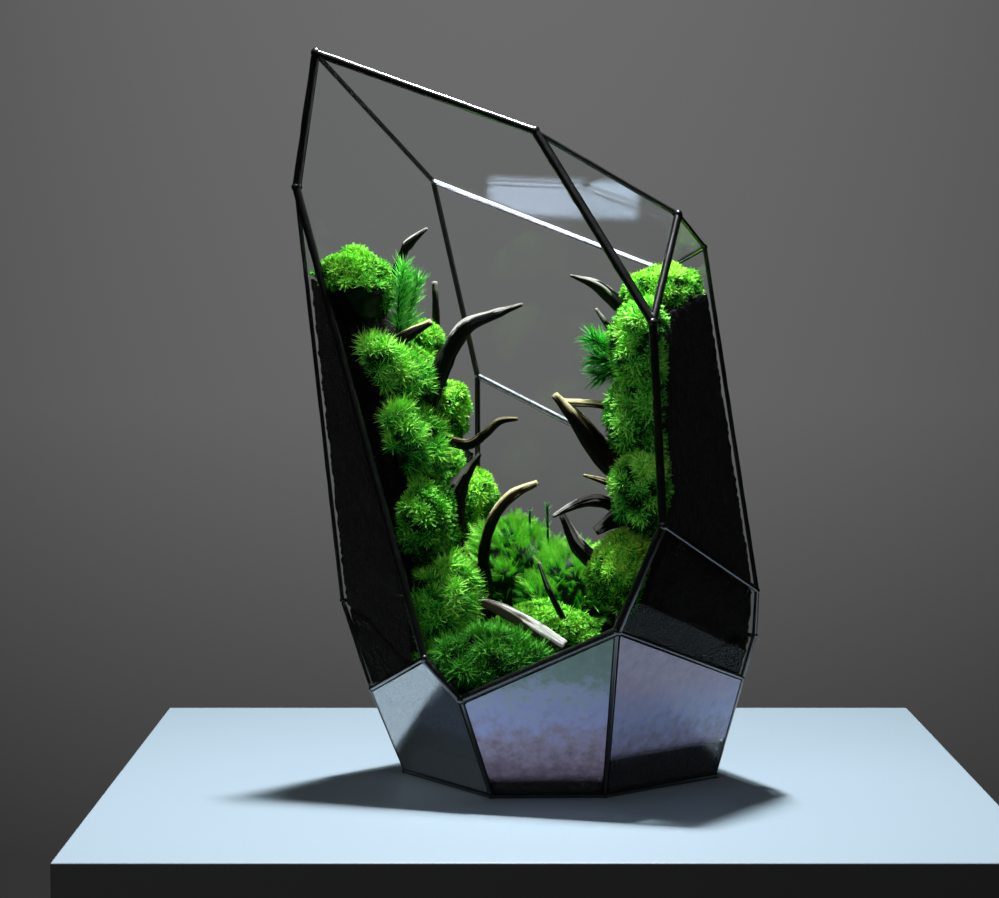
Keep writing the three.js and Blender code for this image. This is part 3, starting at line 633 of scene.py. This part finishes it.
# The relief of a branch: its share of the radius, how finely it changes round the branch, how many mm it
# runs along it, and what its seed is multiplied by
LOBES = (0.22, 1.4, 34, 7)
CRACKS = (0.2, 4.2, 60, 3)
SPLITS = (0.1, 9, 45, 1)
KNOT_SHARE, KNOT_SPACING = 0.12, 9        # of the radius, and mm
FIBRE_WIDTH, FIBRE_LENGTH = 0.909, 14.3   # mm, coarser than real fibres, so that they show
STAIN = 13.3                              # mm across


def weathered_wood(name, dark, middle, pale):
    """Barkless weathered wood: dry, dull, fine cracks along the grain, worn pale on the ridges, and painted
    top light where a branch faces up.
    """
    material = new_material(name)
    # the map runs in millimetres: round the branch, then along it
    grain = add(material, "ShaderNodeUVMap", {"uv_map": "grain"}).outputs["UV"]
    stretched = add(material, "ShaderNodeMapping",
                    inputs={"Scale": (1 / FIBRE_WIDTH, 1 / FIBRE_LENGTH, 1.0)}, links={"Vector": grain})
    fibres = add(material, "ShaderNodeTexNoise", inputs={"Scale": 1.0, "Detail": 8.0, "Roughness": 0.65},
                 links={"Vector": stretched.outputs["Vector"]})
    place = add(material, "ShaderNodeTexCoord")
    stain = add(material, "ShaderNodeTexNoise", inputs={"Scale": 1000 / STAIN, "Detail": 4.0},
                links={"Vector": place.outputs["Object"]})
    ridge = add(material, "ShaderNodeAttribute", {"attribute_name": "ridge"}).outputs["Fac"]
    upward = add(material, "ShaderNodeSeparateXYZ", links={"Vector": place.outputs["Normal"]}).outputs["Z"]
    # paler on the ridges, and painted top light where a branch faces up, unevenly, and streaked by the
    # fibres
    ridge_and_painted_top_light = add(material, "ShaderNodeMath", {"operation": "MULTIPLY_ADD"}, {1: 0.42},
                 {0: upward, 2: ridge})
    pale_share = add(material, "ShaderNodeMath", {"operation": "MULTIPLY_ADD"}, {1: 0.45},
               {0: stain.outputs["Fac"], 2: ridge_and_painted_top_light.outputs["Value"]})
    both = add(material, "ShaderNodeMath", {"operation": "MULTIPLY_ADD"}, {1: 0.8},
               {0: fibres.outputs["Fac"], 2: pale_share.outputs["Value"]})
    shade = ramp(material, both.outputs["Value"], [(0.74, dark), (0.94, middle), (1.08, pale)])
    bump = add(material, "ShaderNodeBump", inputs={"Strength": 1.0, "Distance": 0.0018},
               links={"Height": fibres.outputs["Fac"]})
    shader = add(material, "ShaderNodeBsdfPrincipled",
                 inputs={"Roughness": 0.78, "Specular IOR Level": 0.18},
                 links={"Base Color": shade, "Normal": bump.outputs["Normal"]})
    finish_material(material, shader.outputs["BSDF"])
    return material


dark_wood = weathered_wood("dark_driftwood", "#050403", "#16110d", "#b8b2a8")
brown_wood = weathered_wood("brown_driftwood", "#0c0805", "#4c3a20", "#e6d8a0")
grey_wood = weathered_wood("grey_driftwood", "#4a4038", "#a39a8e", "#ddd8ce")
brown_branches = ("snake", "finger", "blade", "splinter", "arch")


def smooth_path(points, share):
    """The point at a share of the way along a curve through the points, and its direction."""
    place = share * (len(points) - 1)
    i = min(int(place), len(points) - 2)
    t = place - i
    ends = [points[max(i - 1, 0)], points[i], points[i + 1], points[min(i + 2, len(points) - 1)]]
    a, b, c, d = (Vector(p) for p in ends)
    if i == 0:
        a = 2 * b - c
    if i == len(points) - 2:
        d = 2 * c - b
    where = 0.5 * (2 * b + (c - a) * t + (2 * a - 5 * b + 4 * c - d) * t * t
                   + (3 * b - a - 3 * c + d) * t ** 3)
    heading = 0.5 * ((c - a) + 2 * (2 * a - 5 * b + 4 * c - d) * t + 3 * (3 * b - a - 3 * c + d) * t * t)
    return where, heading.normalized()


def wood_relief(angle, along, seed):
    """How far the wood stands out at an angle and some mm along a branch, as a share of its radius."""
    relief = 0
    for depth, fineness, run, spread in (LOBES, CRACKS, SPLITS):
        relief += depth * noise.noise(Vector((fineness * math.cos(angle), fineness * math.sin(angle),
                                              along / run + seed * spread)))
    return relief + KNOT_SHARE * noise.noise(Vector((along / KNOT_SPACING, seed * 5, 0.3)))


def branch(bm, path, girth, seed):
    """Extrudes a ring along the path, with ridges and cracks that run along the branch."""
    uv = bm.loops.layers.uv.verify()
    pale_share = bm.verts.layers.float.get("ridge") or bm.verts.layers.float.new("ridge")
    length = sum((Vector(q) - Vector(p)).length for p, q in zip(path, path[1:]))
    steps = round(length / WOOD_STEP)
    side = Vector((0.31, 0.92, 0.24))     # any way that no branch runs in
    ring = bmesh.ops.create_circle(bm, cap_ends=False, segments=WOOD_SIDES, radius=1.0)["verts"]
    around = {}
    rings = []
    for step in range(steps + 1):
        share = step / steps
        where, heading = smooth_path(path, share)
        side = (side - side.project(heading)).normalized()
        cross = heading.cross(side)
        place = share * (len(girth) - 1)
        low = min(int(place), len(girth) - 2)
        radius = girth[low] + (girth[low + 1] - girth[low]) * (place - low)
        if step:
            before = {tuple(v.co): around[v][1] for v in ring}
            ring = sorted(extruded(bm, ring), key=lambda vert: before[tuple(vert.co)])
        for i, vert in enumerate(ring):
            around[vert] = (step, i)
            angle = 2 * math.pi * i / WOOD_SIDES
            relief = wood_relief(angle, share * length, seed)
            away = radius * (0.96 + relief)
            vert.co = metres(where + (side * math.cos(angle) + cross * math.sin(angle)) * away)
            # worn pale on what stands out, and paler towards the tip
            vert[pale_share] = 1.5 * relief + 0.7 * (share - 0.5)
        rings.append(ring)
    for end in (rings[0], rings[-1]):
        bmesh.ops.holes_fill(bm, edges=edges_among(end), sides=0)
    girth_mm = 2 * math.pi * max(girth)
    for face in {f for v in around for f in v.link_faces}:
        indices = [around[loop.vert][1] for loop in face.loops]
        wraps = max(indices) - min(indices) > WOOD_SIDES / 2
        for loop in face.loops:
            step, i = around[loop.vert]
            turn = i + WOOD_SIDES if wraps and i < WOOD_SIDES / 2 else i
            loop[uv].uv = (turn / WOOD_SIDES * girth_mm, step * WOOD_STEP)


for number, (name, (path, girth)) in enumerate(branches.items()):
    bm = bmesh.new()
    bm.loops.layers.uv.new("grain")
    branch(bm, path, girth, seed=number + 1)
    if name in forks:
        branch(bm, *forks[name], seed=number + 20)
    if name == "claw":
        branch(bm, *root_mass, seed=number + 40)
    bmesh.ops.recalc_face_normals(bm, faces=bm.faces[:])
    finish = grey_wood if name == "log" else brown_wood if name in brown_branches else dark_wood
    wood = add_piece("wood_" + name, bm, finish)
    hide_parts("driftwood_" + name)
    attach(wood, "root")


# Moss cushions
# Living cushions of moss pinned to the banks. Each is a crowd of upright shoots, every shoot ringed with
# narrow leaves; the looser ones throw out needles or flat fern-like fronds.

cushion_moss = ["moss_dome_left", "moss_slope_left", "moss_inner_left", "moss_lower_left",
                "moss_floor_front", "moss_upper_right", "moss_lower_right", "moss_far_right"]
painted_lit_moss = ["moss_back_left", "moss_pillow_back", "moss_crest_right", "moss_foot_right"]
needle_moss = ["moss_shelf_left", "moss_middle_left", "moss_foot_left", "moss_sill"]
fern_moss = ["moss_floor_back", "moss_floor_right"]
ragged_moss = ["moss_upper_right", "moss_lower_right", "moss_lower_left"]

CORE_MESH = 0.002                         # m, the mesh of a cushion's core
MOST_SHOOTS = 7000                        # on one cushion
SHOOT_AREA = 2.2e-6                       # m2 of cushion to each shoot
NEEDLE_AREA = 4.5e-6
FROND_AREA = 7.0e-6
SHOOT_LENGTH = (0.0038, 0.0058)           # m, from the shortest to the longest
RAGGED_LENGTH = (0.004, 0.0085)
NEEDLE_LENGTH = (0.006, 0.011)
FROND_LENGTH = (0.008, 0.014)
SHOOT_LEAVES, SHOOT_NEEDLES, FROND_PAIRS = 7, 10, 11
LEAF_TURN = 2.4                           # radians from one leaf to the next, which spreads them evenly
LEAN = 0.28                               # how far a shoot leans at random
CLUMP_GAP = -0.34                         # below this much clumping nothing grows
CLEARANCE = 0.0012                        # m to the next piece
REACH = 1.15                              # of a shoot's length, within which it meets another piece
SHORTEST = 0.55                           # of its length, below which a shoot that is cut short is left out
CUT_SHORT = 0.85                          # of the room that a shoot has
# The corners of a box under the left dome, in m, where the shoots died back in the shade
SHADED_LOW = np.array([-0.14, -0.08, 0.3])
SHADED_HIGH = np.array([-0.096, -0.012, 0.34])

# A shoot's tint goes from dark to pale. It rises from its root to its tip: the dark root is partly old stems
# and partly painted shade in the gaps between shoots, and so is the dark core. It rises where the shoot
# looks up, as painted top light, and each shoot has some of its own.
ROOT_TINT, TIP_TINT, PAINTED_TOP_LIGHT, CORE_TINT_AND_PAINTED_SHADE = 0.12, 0.62, 0.2, -0.1
OWN_TINT = (-0.28, 0.24)
# painted light: paler in the thick of a clump, which stands out into the lamp
CLUMP_PAINTED_LIGHT = 0.62
# painted light and shade: paler high on a cushion, darker low on it
HEIGHT_PAINTED_LIGHT, MIDDLE_HEIGHT = 0.45, 0.58     # paler above this share of a cushion's height, darker below it
GREEN_PATCH = 16.7                        # mm between yellower and bluer patches


def moss_green(name, root, leaf, tip, roughness=0.6):
    """Moss leaves: thin, moist and soft, darker at the root, partly as painted shade, yellower at the lit
    tips.
    """
    material = new_material(name)
    tint = add(material, "ShaderNodeAttribute", {"attribute_name": "tint"}).outputs["Fac"]
    spot = add(material, "ShaderNodeTexCoord").outputs["Object"]
    patch = add(material, "ShaderNodeTexNoise", inputs={"Scale": 1000 / GREEN_PATCH, "Detail": 3.0},
                links={"Vector": spot})
    mixed = add(material, "ShaderNodeMath", {"operation": "MULTIPLY_ADD"}, {1: 0.5},
                {0: patch.outputs["Fac"], 2: tint})
    shade = ramp(material, mixed.outputs["Value"], [(0.3, root), (0.65, leaf), (1.0, tip)])
    shader = add(material, "ShaderNodeBsdfPrincipled",
                 inputs={"Roughness": roughness, "Specular IOR Level": 0.12}, links={"Base Color": shade})
    finish_material(material, shader.outputs["BSDF"])
    return material


# lit and shaded copies of one moss: the bright and light greens are painted light, paler where the lamp
# lights too little, and the shaded green is painted shade on the sill
cushion_green = moss_green("cushion_moss_leaves", "#031603", "#43b026", "#8fdc44")
painted_lit_green = moss_green("painted_lit_moss_leaves", "#052205", "#4fc62c", "#b2ee54")
painted_shade_green = moss_green("painted_shade_moss_leaves", "#021004", "#187018", "#54a832")
deep_green = moss_green("deep_moss_leaves", "#021203", "#2c8c1e", "#7cd040")
painted_lit_pale_green = moss_green("painted_lit_pale_moss_leaves", "#042208", "#4cc83a", "#a8f060")
feather_green = moss_green("feather_moss_leaves", "#031807", "#38b92f", "#96e252")


def shoot_template():
    """One shoot of cushion moss, 1 unit long along +Z: narrow leaves that open outwards."""
    bm = bmesh.new()
    for i in range(SHOOT_LEAVES):
        turn = Matrix.Rotation(i * LEAF_TURN, 4, "Z")
        lean = Matrix.Rotation(0.45 + 0.11 * i, 4, "Y")
        longer = Matrix.Diagonal((1, 1, 0.75 + 0.04 * i, 1))
        leaf = bmesh.ops.create_grid(bm, x_segments=1, y_segments=1, size=0.5)["verts"]
        bmesh.ops.scale(bm, vec=(0.13, 1.0, 1.0), verts=leaf)
        for vert in leaf:
            height = vert.co.y + 0.5
            taper = 0.35 if height > 0.5 else 1.7
            vert.co = Vector((0.2 * height * height, vert.co.x * taper, height))
        bmesh.ops.transform(bm, matrix=turn @ lean @ longer, verts=leaf)
    return bm


def needle_template():
    """One loose shoot, 1 unit long along +Z: needles that splay from its root."""
    bm = bmesh.new()
    for i in range(SHOOT_NEEDLES):
        turn = Matrix.Rotation(i * LEAF_TURN, 4, "Z")
        lean = Matrix.Rotation(0.15 + 0.12 * i, 4, "Y")
        shorter = Matrix.Diagonal((1, 1, 1.05 - 0.035 * i, 1))
        needle = bmesh.ops.create_grid(bm, x_segments=1, y_segments=2, size=0.5)["verts"]
        for vert in needle:
            height = vert.co.y + 0.5
            vert.co = Vector((0.22 * height * height, vert.co.x * 0.11 * (1.05 - height), height))
        bmesh.ops.transform(bm, matrix=turn @ lean @ shorter, verts=needle)
    return bm


def frond_template():
    """One fern-like frond, 1 unit long along +Z, with paired leaflets that bend back."""
    bm = bmesh.new()
    for i in range(FROND_PAIRS):
        height = 0.12 + 0.8 * i / FROND_PAIRS
        reach = 0.3 * math.sin(math.pi * (0.25 + 0.7 * i / FROND_PAIRS))
        for hand in (-1, 1):
            leaf = bmesh.ops.create_circle(bm, cap_ends=True, segments=3, radius=0.5)["verts"]
            bmesh.ops.scale(bm, vec=(0.05, 1.0, 1.0), verts=leaf)
            for vert in leaf:
                along = (vert.co.y + 0.25) / 0.75
                vert.co = Vector((0.35 * height * height + 0.05 * along, hand * (reach * along),
                                  height + 0.14 * along + vert.co.x * 0.9))
    stalk = bmesh.ops.create_grid(bm, x_segments=1, y_segments=4, size=0.5)["verts"]
    for vert in stalk:
        height = vert.co.y + 0.5
        vert.co = Vector((0.35 * height * height, vert.co.x * 0.035 * (1.2 - height), height))
    return bm


def template_arrays(bm):
    """A template's points and triangles."""
    bmesh.ops.triangulate(bm, faces=bm.faces[:])
    bm.verts.index_update()
    points = np.array([v.co for v in bm.verts])
    faces = np.array([[v.index for v in f.verts] for f in bm.faces])
    bm.free()
    return points, faces


def unit(ways):
    return ways / np.linalg.norm(ways, axis=1)[:, None]


def sown(name, core, template, places, normals, lengths, paleness, rng, material):
    """Joins the core with one copy of the template at each place, leaning along its normal."""
    points, faces = template
    count = len(places)
    spin = rng.uniform(0, 2 * np.pi, count)
    nearly_up = np.array([0.01, 0.01, 1.01])
    across = unit(np.cross(normals, nearly_up))
    third = np.cross(normals, across)
    u = across * np.cos(spin)[:, None] + third * np.sin(spin)[:, None]
    v = np.cross(normals, u)
    spread = (u[:, None, :] * points[None, :, :1] + v[:, None, :] * points[None, :, 1:2]
              + normals[:, None, :] * points[None, :, 2:])
    verts = (places[:, None, :] + spread * lengths[:, None, None]).reshape(-1, 3)
    tris = (faces[None] + (np.arange(count) * len(points))[:, None, None]).reshape(-1, 3)
    # painted top light: shoots that look up are paler
    own = rng.uniform(*OWN_TINT, count) + PAINTED_TOP_LIGHT * normals[:, 2] + paleness
    tint = (ROOT_TINT + TIP_TINT * points[None, :, 2] + own[:, None]).reshape(-1)
    base = np.array([vert.co for vert in core.data.vertices])
    core_faces = [list(p.vertices) for p in core.data.polygons]
    mesh = bpy.data.meshes.new(name)
    mesh.from_pydata(np.vstack([base, verts]).tolist(), [],
                     core_faces + (tris + len(base)).tolist())
    layer = mesh.attributes.new("tint", "FLOAT", "POINT")
    tints = np.concatenate([np.full(len(base), CORE_TINT_AND_PAINTED_SHADE), tint])
    layer.data.foreach_set("value", tints.astype(np.float32))
    mesh.materials.append(material)
    mesh.shade_smooth()
    bpy.data.objects.remove(core)
    piece = bpy.data.objects.new(name, mesh)
    scene.collection.objects.link(piece)
    return piece


def smooth_core(node, material):
    """The body of a cushion, with the facets of its solid smoothed away."""
    core = remeshed(node + "_core", merged(node), material, CORE_MESH)
    bm = bmesh.new()
    bm.from_mesh(core.data)
    for _ in range(3):
        bmesh.ops.smooth_vert(bm, verts=bm.verts[:], factor=0.5, use_axis_x=True, use_axis_y=True,
                              use_axis_z=True)
    bmesh.ops.triangulate(bm, faces=bm.faces[:])
    bm.to_mesh(core.data)
    bm.free()
    return core


def scattered(mesh, area, rng):
    """Random places on a mesh of triangles, one to so much of its area, and the way it faces at each."""
    corners = np.array([v.co for v in mesh.vertices])
    normals = np.array([v.normal for v in mesh.vertices])
    tris = np.array([list(p.vertices) for p in mesh.polygons])
    sides = corners[tris]
    areas = np.linalg.norm(np.cross(sides[:, 1] - sides[:, 0], sides[:, 2] - sides[:, 0]), axis=1) / 2
    count = min(MOST_SHOOTS, int(areas.sum() / area))
    pick = rng.choice(len(tris), count, p=areas / areas.sum())
    a, b = rng.uniform(size=(2, count))
    flip = a + b > 1
    a[flip], b[flip] = 1 - a[flip], 1 - b[flip]
    weights = np.stack([1 - a - b, a, b], axis=1)
    places = (sides[pick] * weights[:, :, None]).sum(axis=1)
    facing = (normals[tris[pick]] * weights[:, :, None]).sum(axis=1)
    return places, facing


def neighbours_of(node):
    """A search tree of every other CAD node's faces."""
    points, faces = [], []
    for other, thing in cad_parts.items():
        if other == node:
            continue
        start = len(points)
        points += [v.co for v in thing.data.vertices]
        faces += [[start + i for i in p.vertices] for p in thing.data.polygons]
    return BVHTree.FromPolygons(points, faces)


def with_room(tree, sprouts, places, outward, lengths):
    """The sprouts that have room among the other pieces, after the lengths of some are cut short."""
    kept = []
    for i in sprouts:
        room = tree.ray_cast(Vector(places[i]), Vector(outward[i]), lengths[i] * REACH)[3]
        if room is None:
            if tree.find_nearest(Vector(places[i]), CLEARANCE)[3] is None:
                kept.append(i)
        elif room > SHORTEST * lengths[i]:
            lengths[i] = room * CUT_SHORT
            kept.append(i)
    return np.array(kept)


def grow_moss(node, material, template, area, length, lift, clump_size, seed):
    """Grows shoots in clumps all over a cushion. They lean outwards and, by the lift, upwards."""
    rng = np.random.default_rng(seed)
    core = smooth_core(node, material)
    places, outward = scattered(core.data, area, rng)
    outward += rng.normal(0, LEAN, outward.shape) + np.array([0.0, 0.0, lift])
    outward = unit(outward)
    clump = np.array([noise.noise(Vector(p) / clump_size) for p in places])
    lengths = rng.uniform(*length, len(places)) * np.clip(0.85 + 0.8 * clump, 0.35, 1.25)
    grown = clump > CLUMP_GAP
    if node == "moss_dome_left":
        grown &= ~((places > SHADED_LOW) & (places < SHADED_HIGH)).all(axis=1)
    keep = with_room(neighbours_of(node), np.flatnonzero(grown), places, outward, lengths)
    rise = (places[:, 2] - places[:, 2].min()) / np.ptp(places[:, 2])
    # painted light: paler in the thick of a clump and towards a cushion's top, painted shade low down
    paleness = CLUMP_PAINTED_LIGHT * clump + HEIGHT_PAINTED_LIGHT * (rise - MIDDLE_HEIGHT)
    piece = sown(node.replace("moss", "leafy"), core, template, places[keep], outward[keep],
                 lengths[keep], paleness[keep], rng, material)
    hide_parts(node)
    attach(piece, "root")
    return piece


shoot = template_arrays(shoot_template())
needles = template_arrays(needle_template())
frond = template_arrays(frond_template())
for number, node in enumerate(cushion_moss):
    # the right bank's cushions take the paler painted-light copy
    green = {"moss_lower_right": painted_lit_pale_green, "moss_upper_right": painted_lit_pale_green,
             "moss_lower_left": deep_green}.get(node, cushion_green)
    length, clump_size = (RAGGED_LENGTH, 0.009) if node in ragged_moss else (SHOOT_LENGTH, 0.005)
    piece = grow_moss(node, green, shoot, SHOOT_AREA, length, lift=0.25, clump_size=clump_size,
                      seed=100 + number)
# these cushions take the bright painted-light copy
for number, node in enumerate(painted_lit_moss):
    piece = grow_moss(node, painted_lit_green, shoot, SHOOT_AREA, SHOOT_LENGTH, lift=0.15, clump_size=0.005,
                      seed=200 + number)
for number, node in enumerate(needle_moss):
    # the sill takes the painted-shade copy and the left shelf the paler painted-light copy
    green = {"moss_sill": painted_shade_green, "moss_shelf_left": painted_lit_pale_green}.get(node, feather_green)
    piece = grow_moss(node, green, needles, NEEDLE_AREA, NEEDLE_LENGTH, lift=0.45, clump_size=0.008,
                      seed=300 + number)
for number, node in enumerate(fern_moss):
    piece = grow_moss(node, feather_green, frond, FROND_AREA, FROND_LENGTH, lift=0.55, clump_size=0.01,
                      seed=350 + number)


# Hair moss
# Tall shoots like tiny conifers: a wiry stem ringed all the way up with stiff narrow leaves. Three stand
# by the left dome, three hang from the right bank, and two thin ones rise from the floor.

# The stems' paths and the leaves' shortest and longest lengths are in mm
sprigs = {
    "hair_moss_tall": {
        "stems": [[(-88, -8, 296), (-86, -12, 330), (-83, -14, 352)],
                  [(-82, 0, 296), (-79, -2, 322), (-74, -4, 342)],
                  [(-86, -6, 296), (-84, -8, 324), (-80, -8, 346)]],
        "leaves": 220, "length": (9, 14), "paleness": 0.1},
    "hair_moss_tuft": {
        "stems": [[(80, -56, 276), (60, -62, 288), (46, -66, 292)],
                  [(78, -54, 284), (58, -60, 296), (44, -64, 304)],
                  [(79, -55, 280), (60, -61, 284), (48, -65, 281)]],
        "leaves": 240, "length": (11, 16), "paleness": -0.12},
    "moss_shoots": {
        "stems": [[(9, 24, 118), (3, 22, 150), (3, 20, 184)],
                  [(9, 24, 118), (15, 22, 150), (15, 20, 189)]],
        "leaves": 70, "length": (3, 6), "paleness": 0.0},
}
STEM_RADIUS = 0.9 / 1000                  # m
STEM_PARTS = 10
STEM_OVERLAP = 1.05                       # of a part's length, so that no gap shows at a bend
BARE_FOOT = 0.22                          # of a stem, below its first leaf

hair_green = moss_green("hair_moss_leaves", "#0a3a12", "#30cf3e", "#90ec6e", roughness=0.45)


def leaf_template():
    """One stiff narrow leaf, 1 unit long along +Z, slightly bent back, with a keel."""
    bm = bmesh.new()
    blade = bmesh.ops.create_grid(bm, x_segments=2, y_segments=3, size=0.5)["verts"]
    for vert in blade:
        height = vert.co.y + 0.5
        width = 2 * vert.co.x * (1 - height * 0.92)
        vert.co = Vector((0.14 * height * height + 0.02 * abs(width), width * 0.045, height))
    return bm


leaf = template_arrays(leaf_template())
for number, (node, sprig) in enumerate(sprigs.items()):
    rng = np.random.default_rng(400 + number)
    bm = bmesh.new()
    for path in sprig["stems"]:
        spots = [metres(smooth_path(path, i / STEM_PARTS)[0]) for i in range(STEM_PARTS + 1)]
        for start, end in zip(spots, spots[1:]):
            turn = (end - start).to_track_quat("Z", "Y").to_matrix().to_4x4()
            bmesh.ops.create_cone(bm, cap_ends=True, segments=8, radius1=STEM_RADIUS, radius2=STEM_RADIUS,
                                  depth=(end - start).length * STEM_OVERLAP,
                                  matrix=Matrix.Translation((start + end) / 2) @ turn)
    stems = add_piece(node + "_stems", bm, hair_green)
    places, normals, lengths = [], [], []
    for path in sprig["stems"]:
        for i in range(sprig["leaves"]):
            share = BARE_FOOT + (1 - BARE_FOOT) * i / sprig["leaves"]
            where, heading = smooth_path(path, share)
            side = heading.orthogonal().normalized()
            side.rotate(Quaternion(heading, i * LEAF_TURN + rng.uniform(0, 0.4)))
            lean = 0.35 + 1.5 * share * rng.uniform(0.5, 1.0)
            places.append(metres(where))
            normals.append((side + heading * lean).normalized())
            lengths.append(rng.uniform(*sprig["length"]) / 1000)
    piece = sown(node.replace("moss", "leafy"), stems, leaf, np.array(places), np.array(normals),
                 np.array(lengths), sprig["paleness"], rng, hair_green)
    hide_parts(node)
    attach(piece, "root")
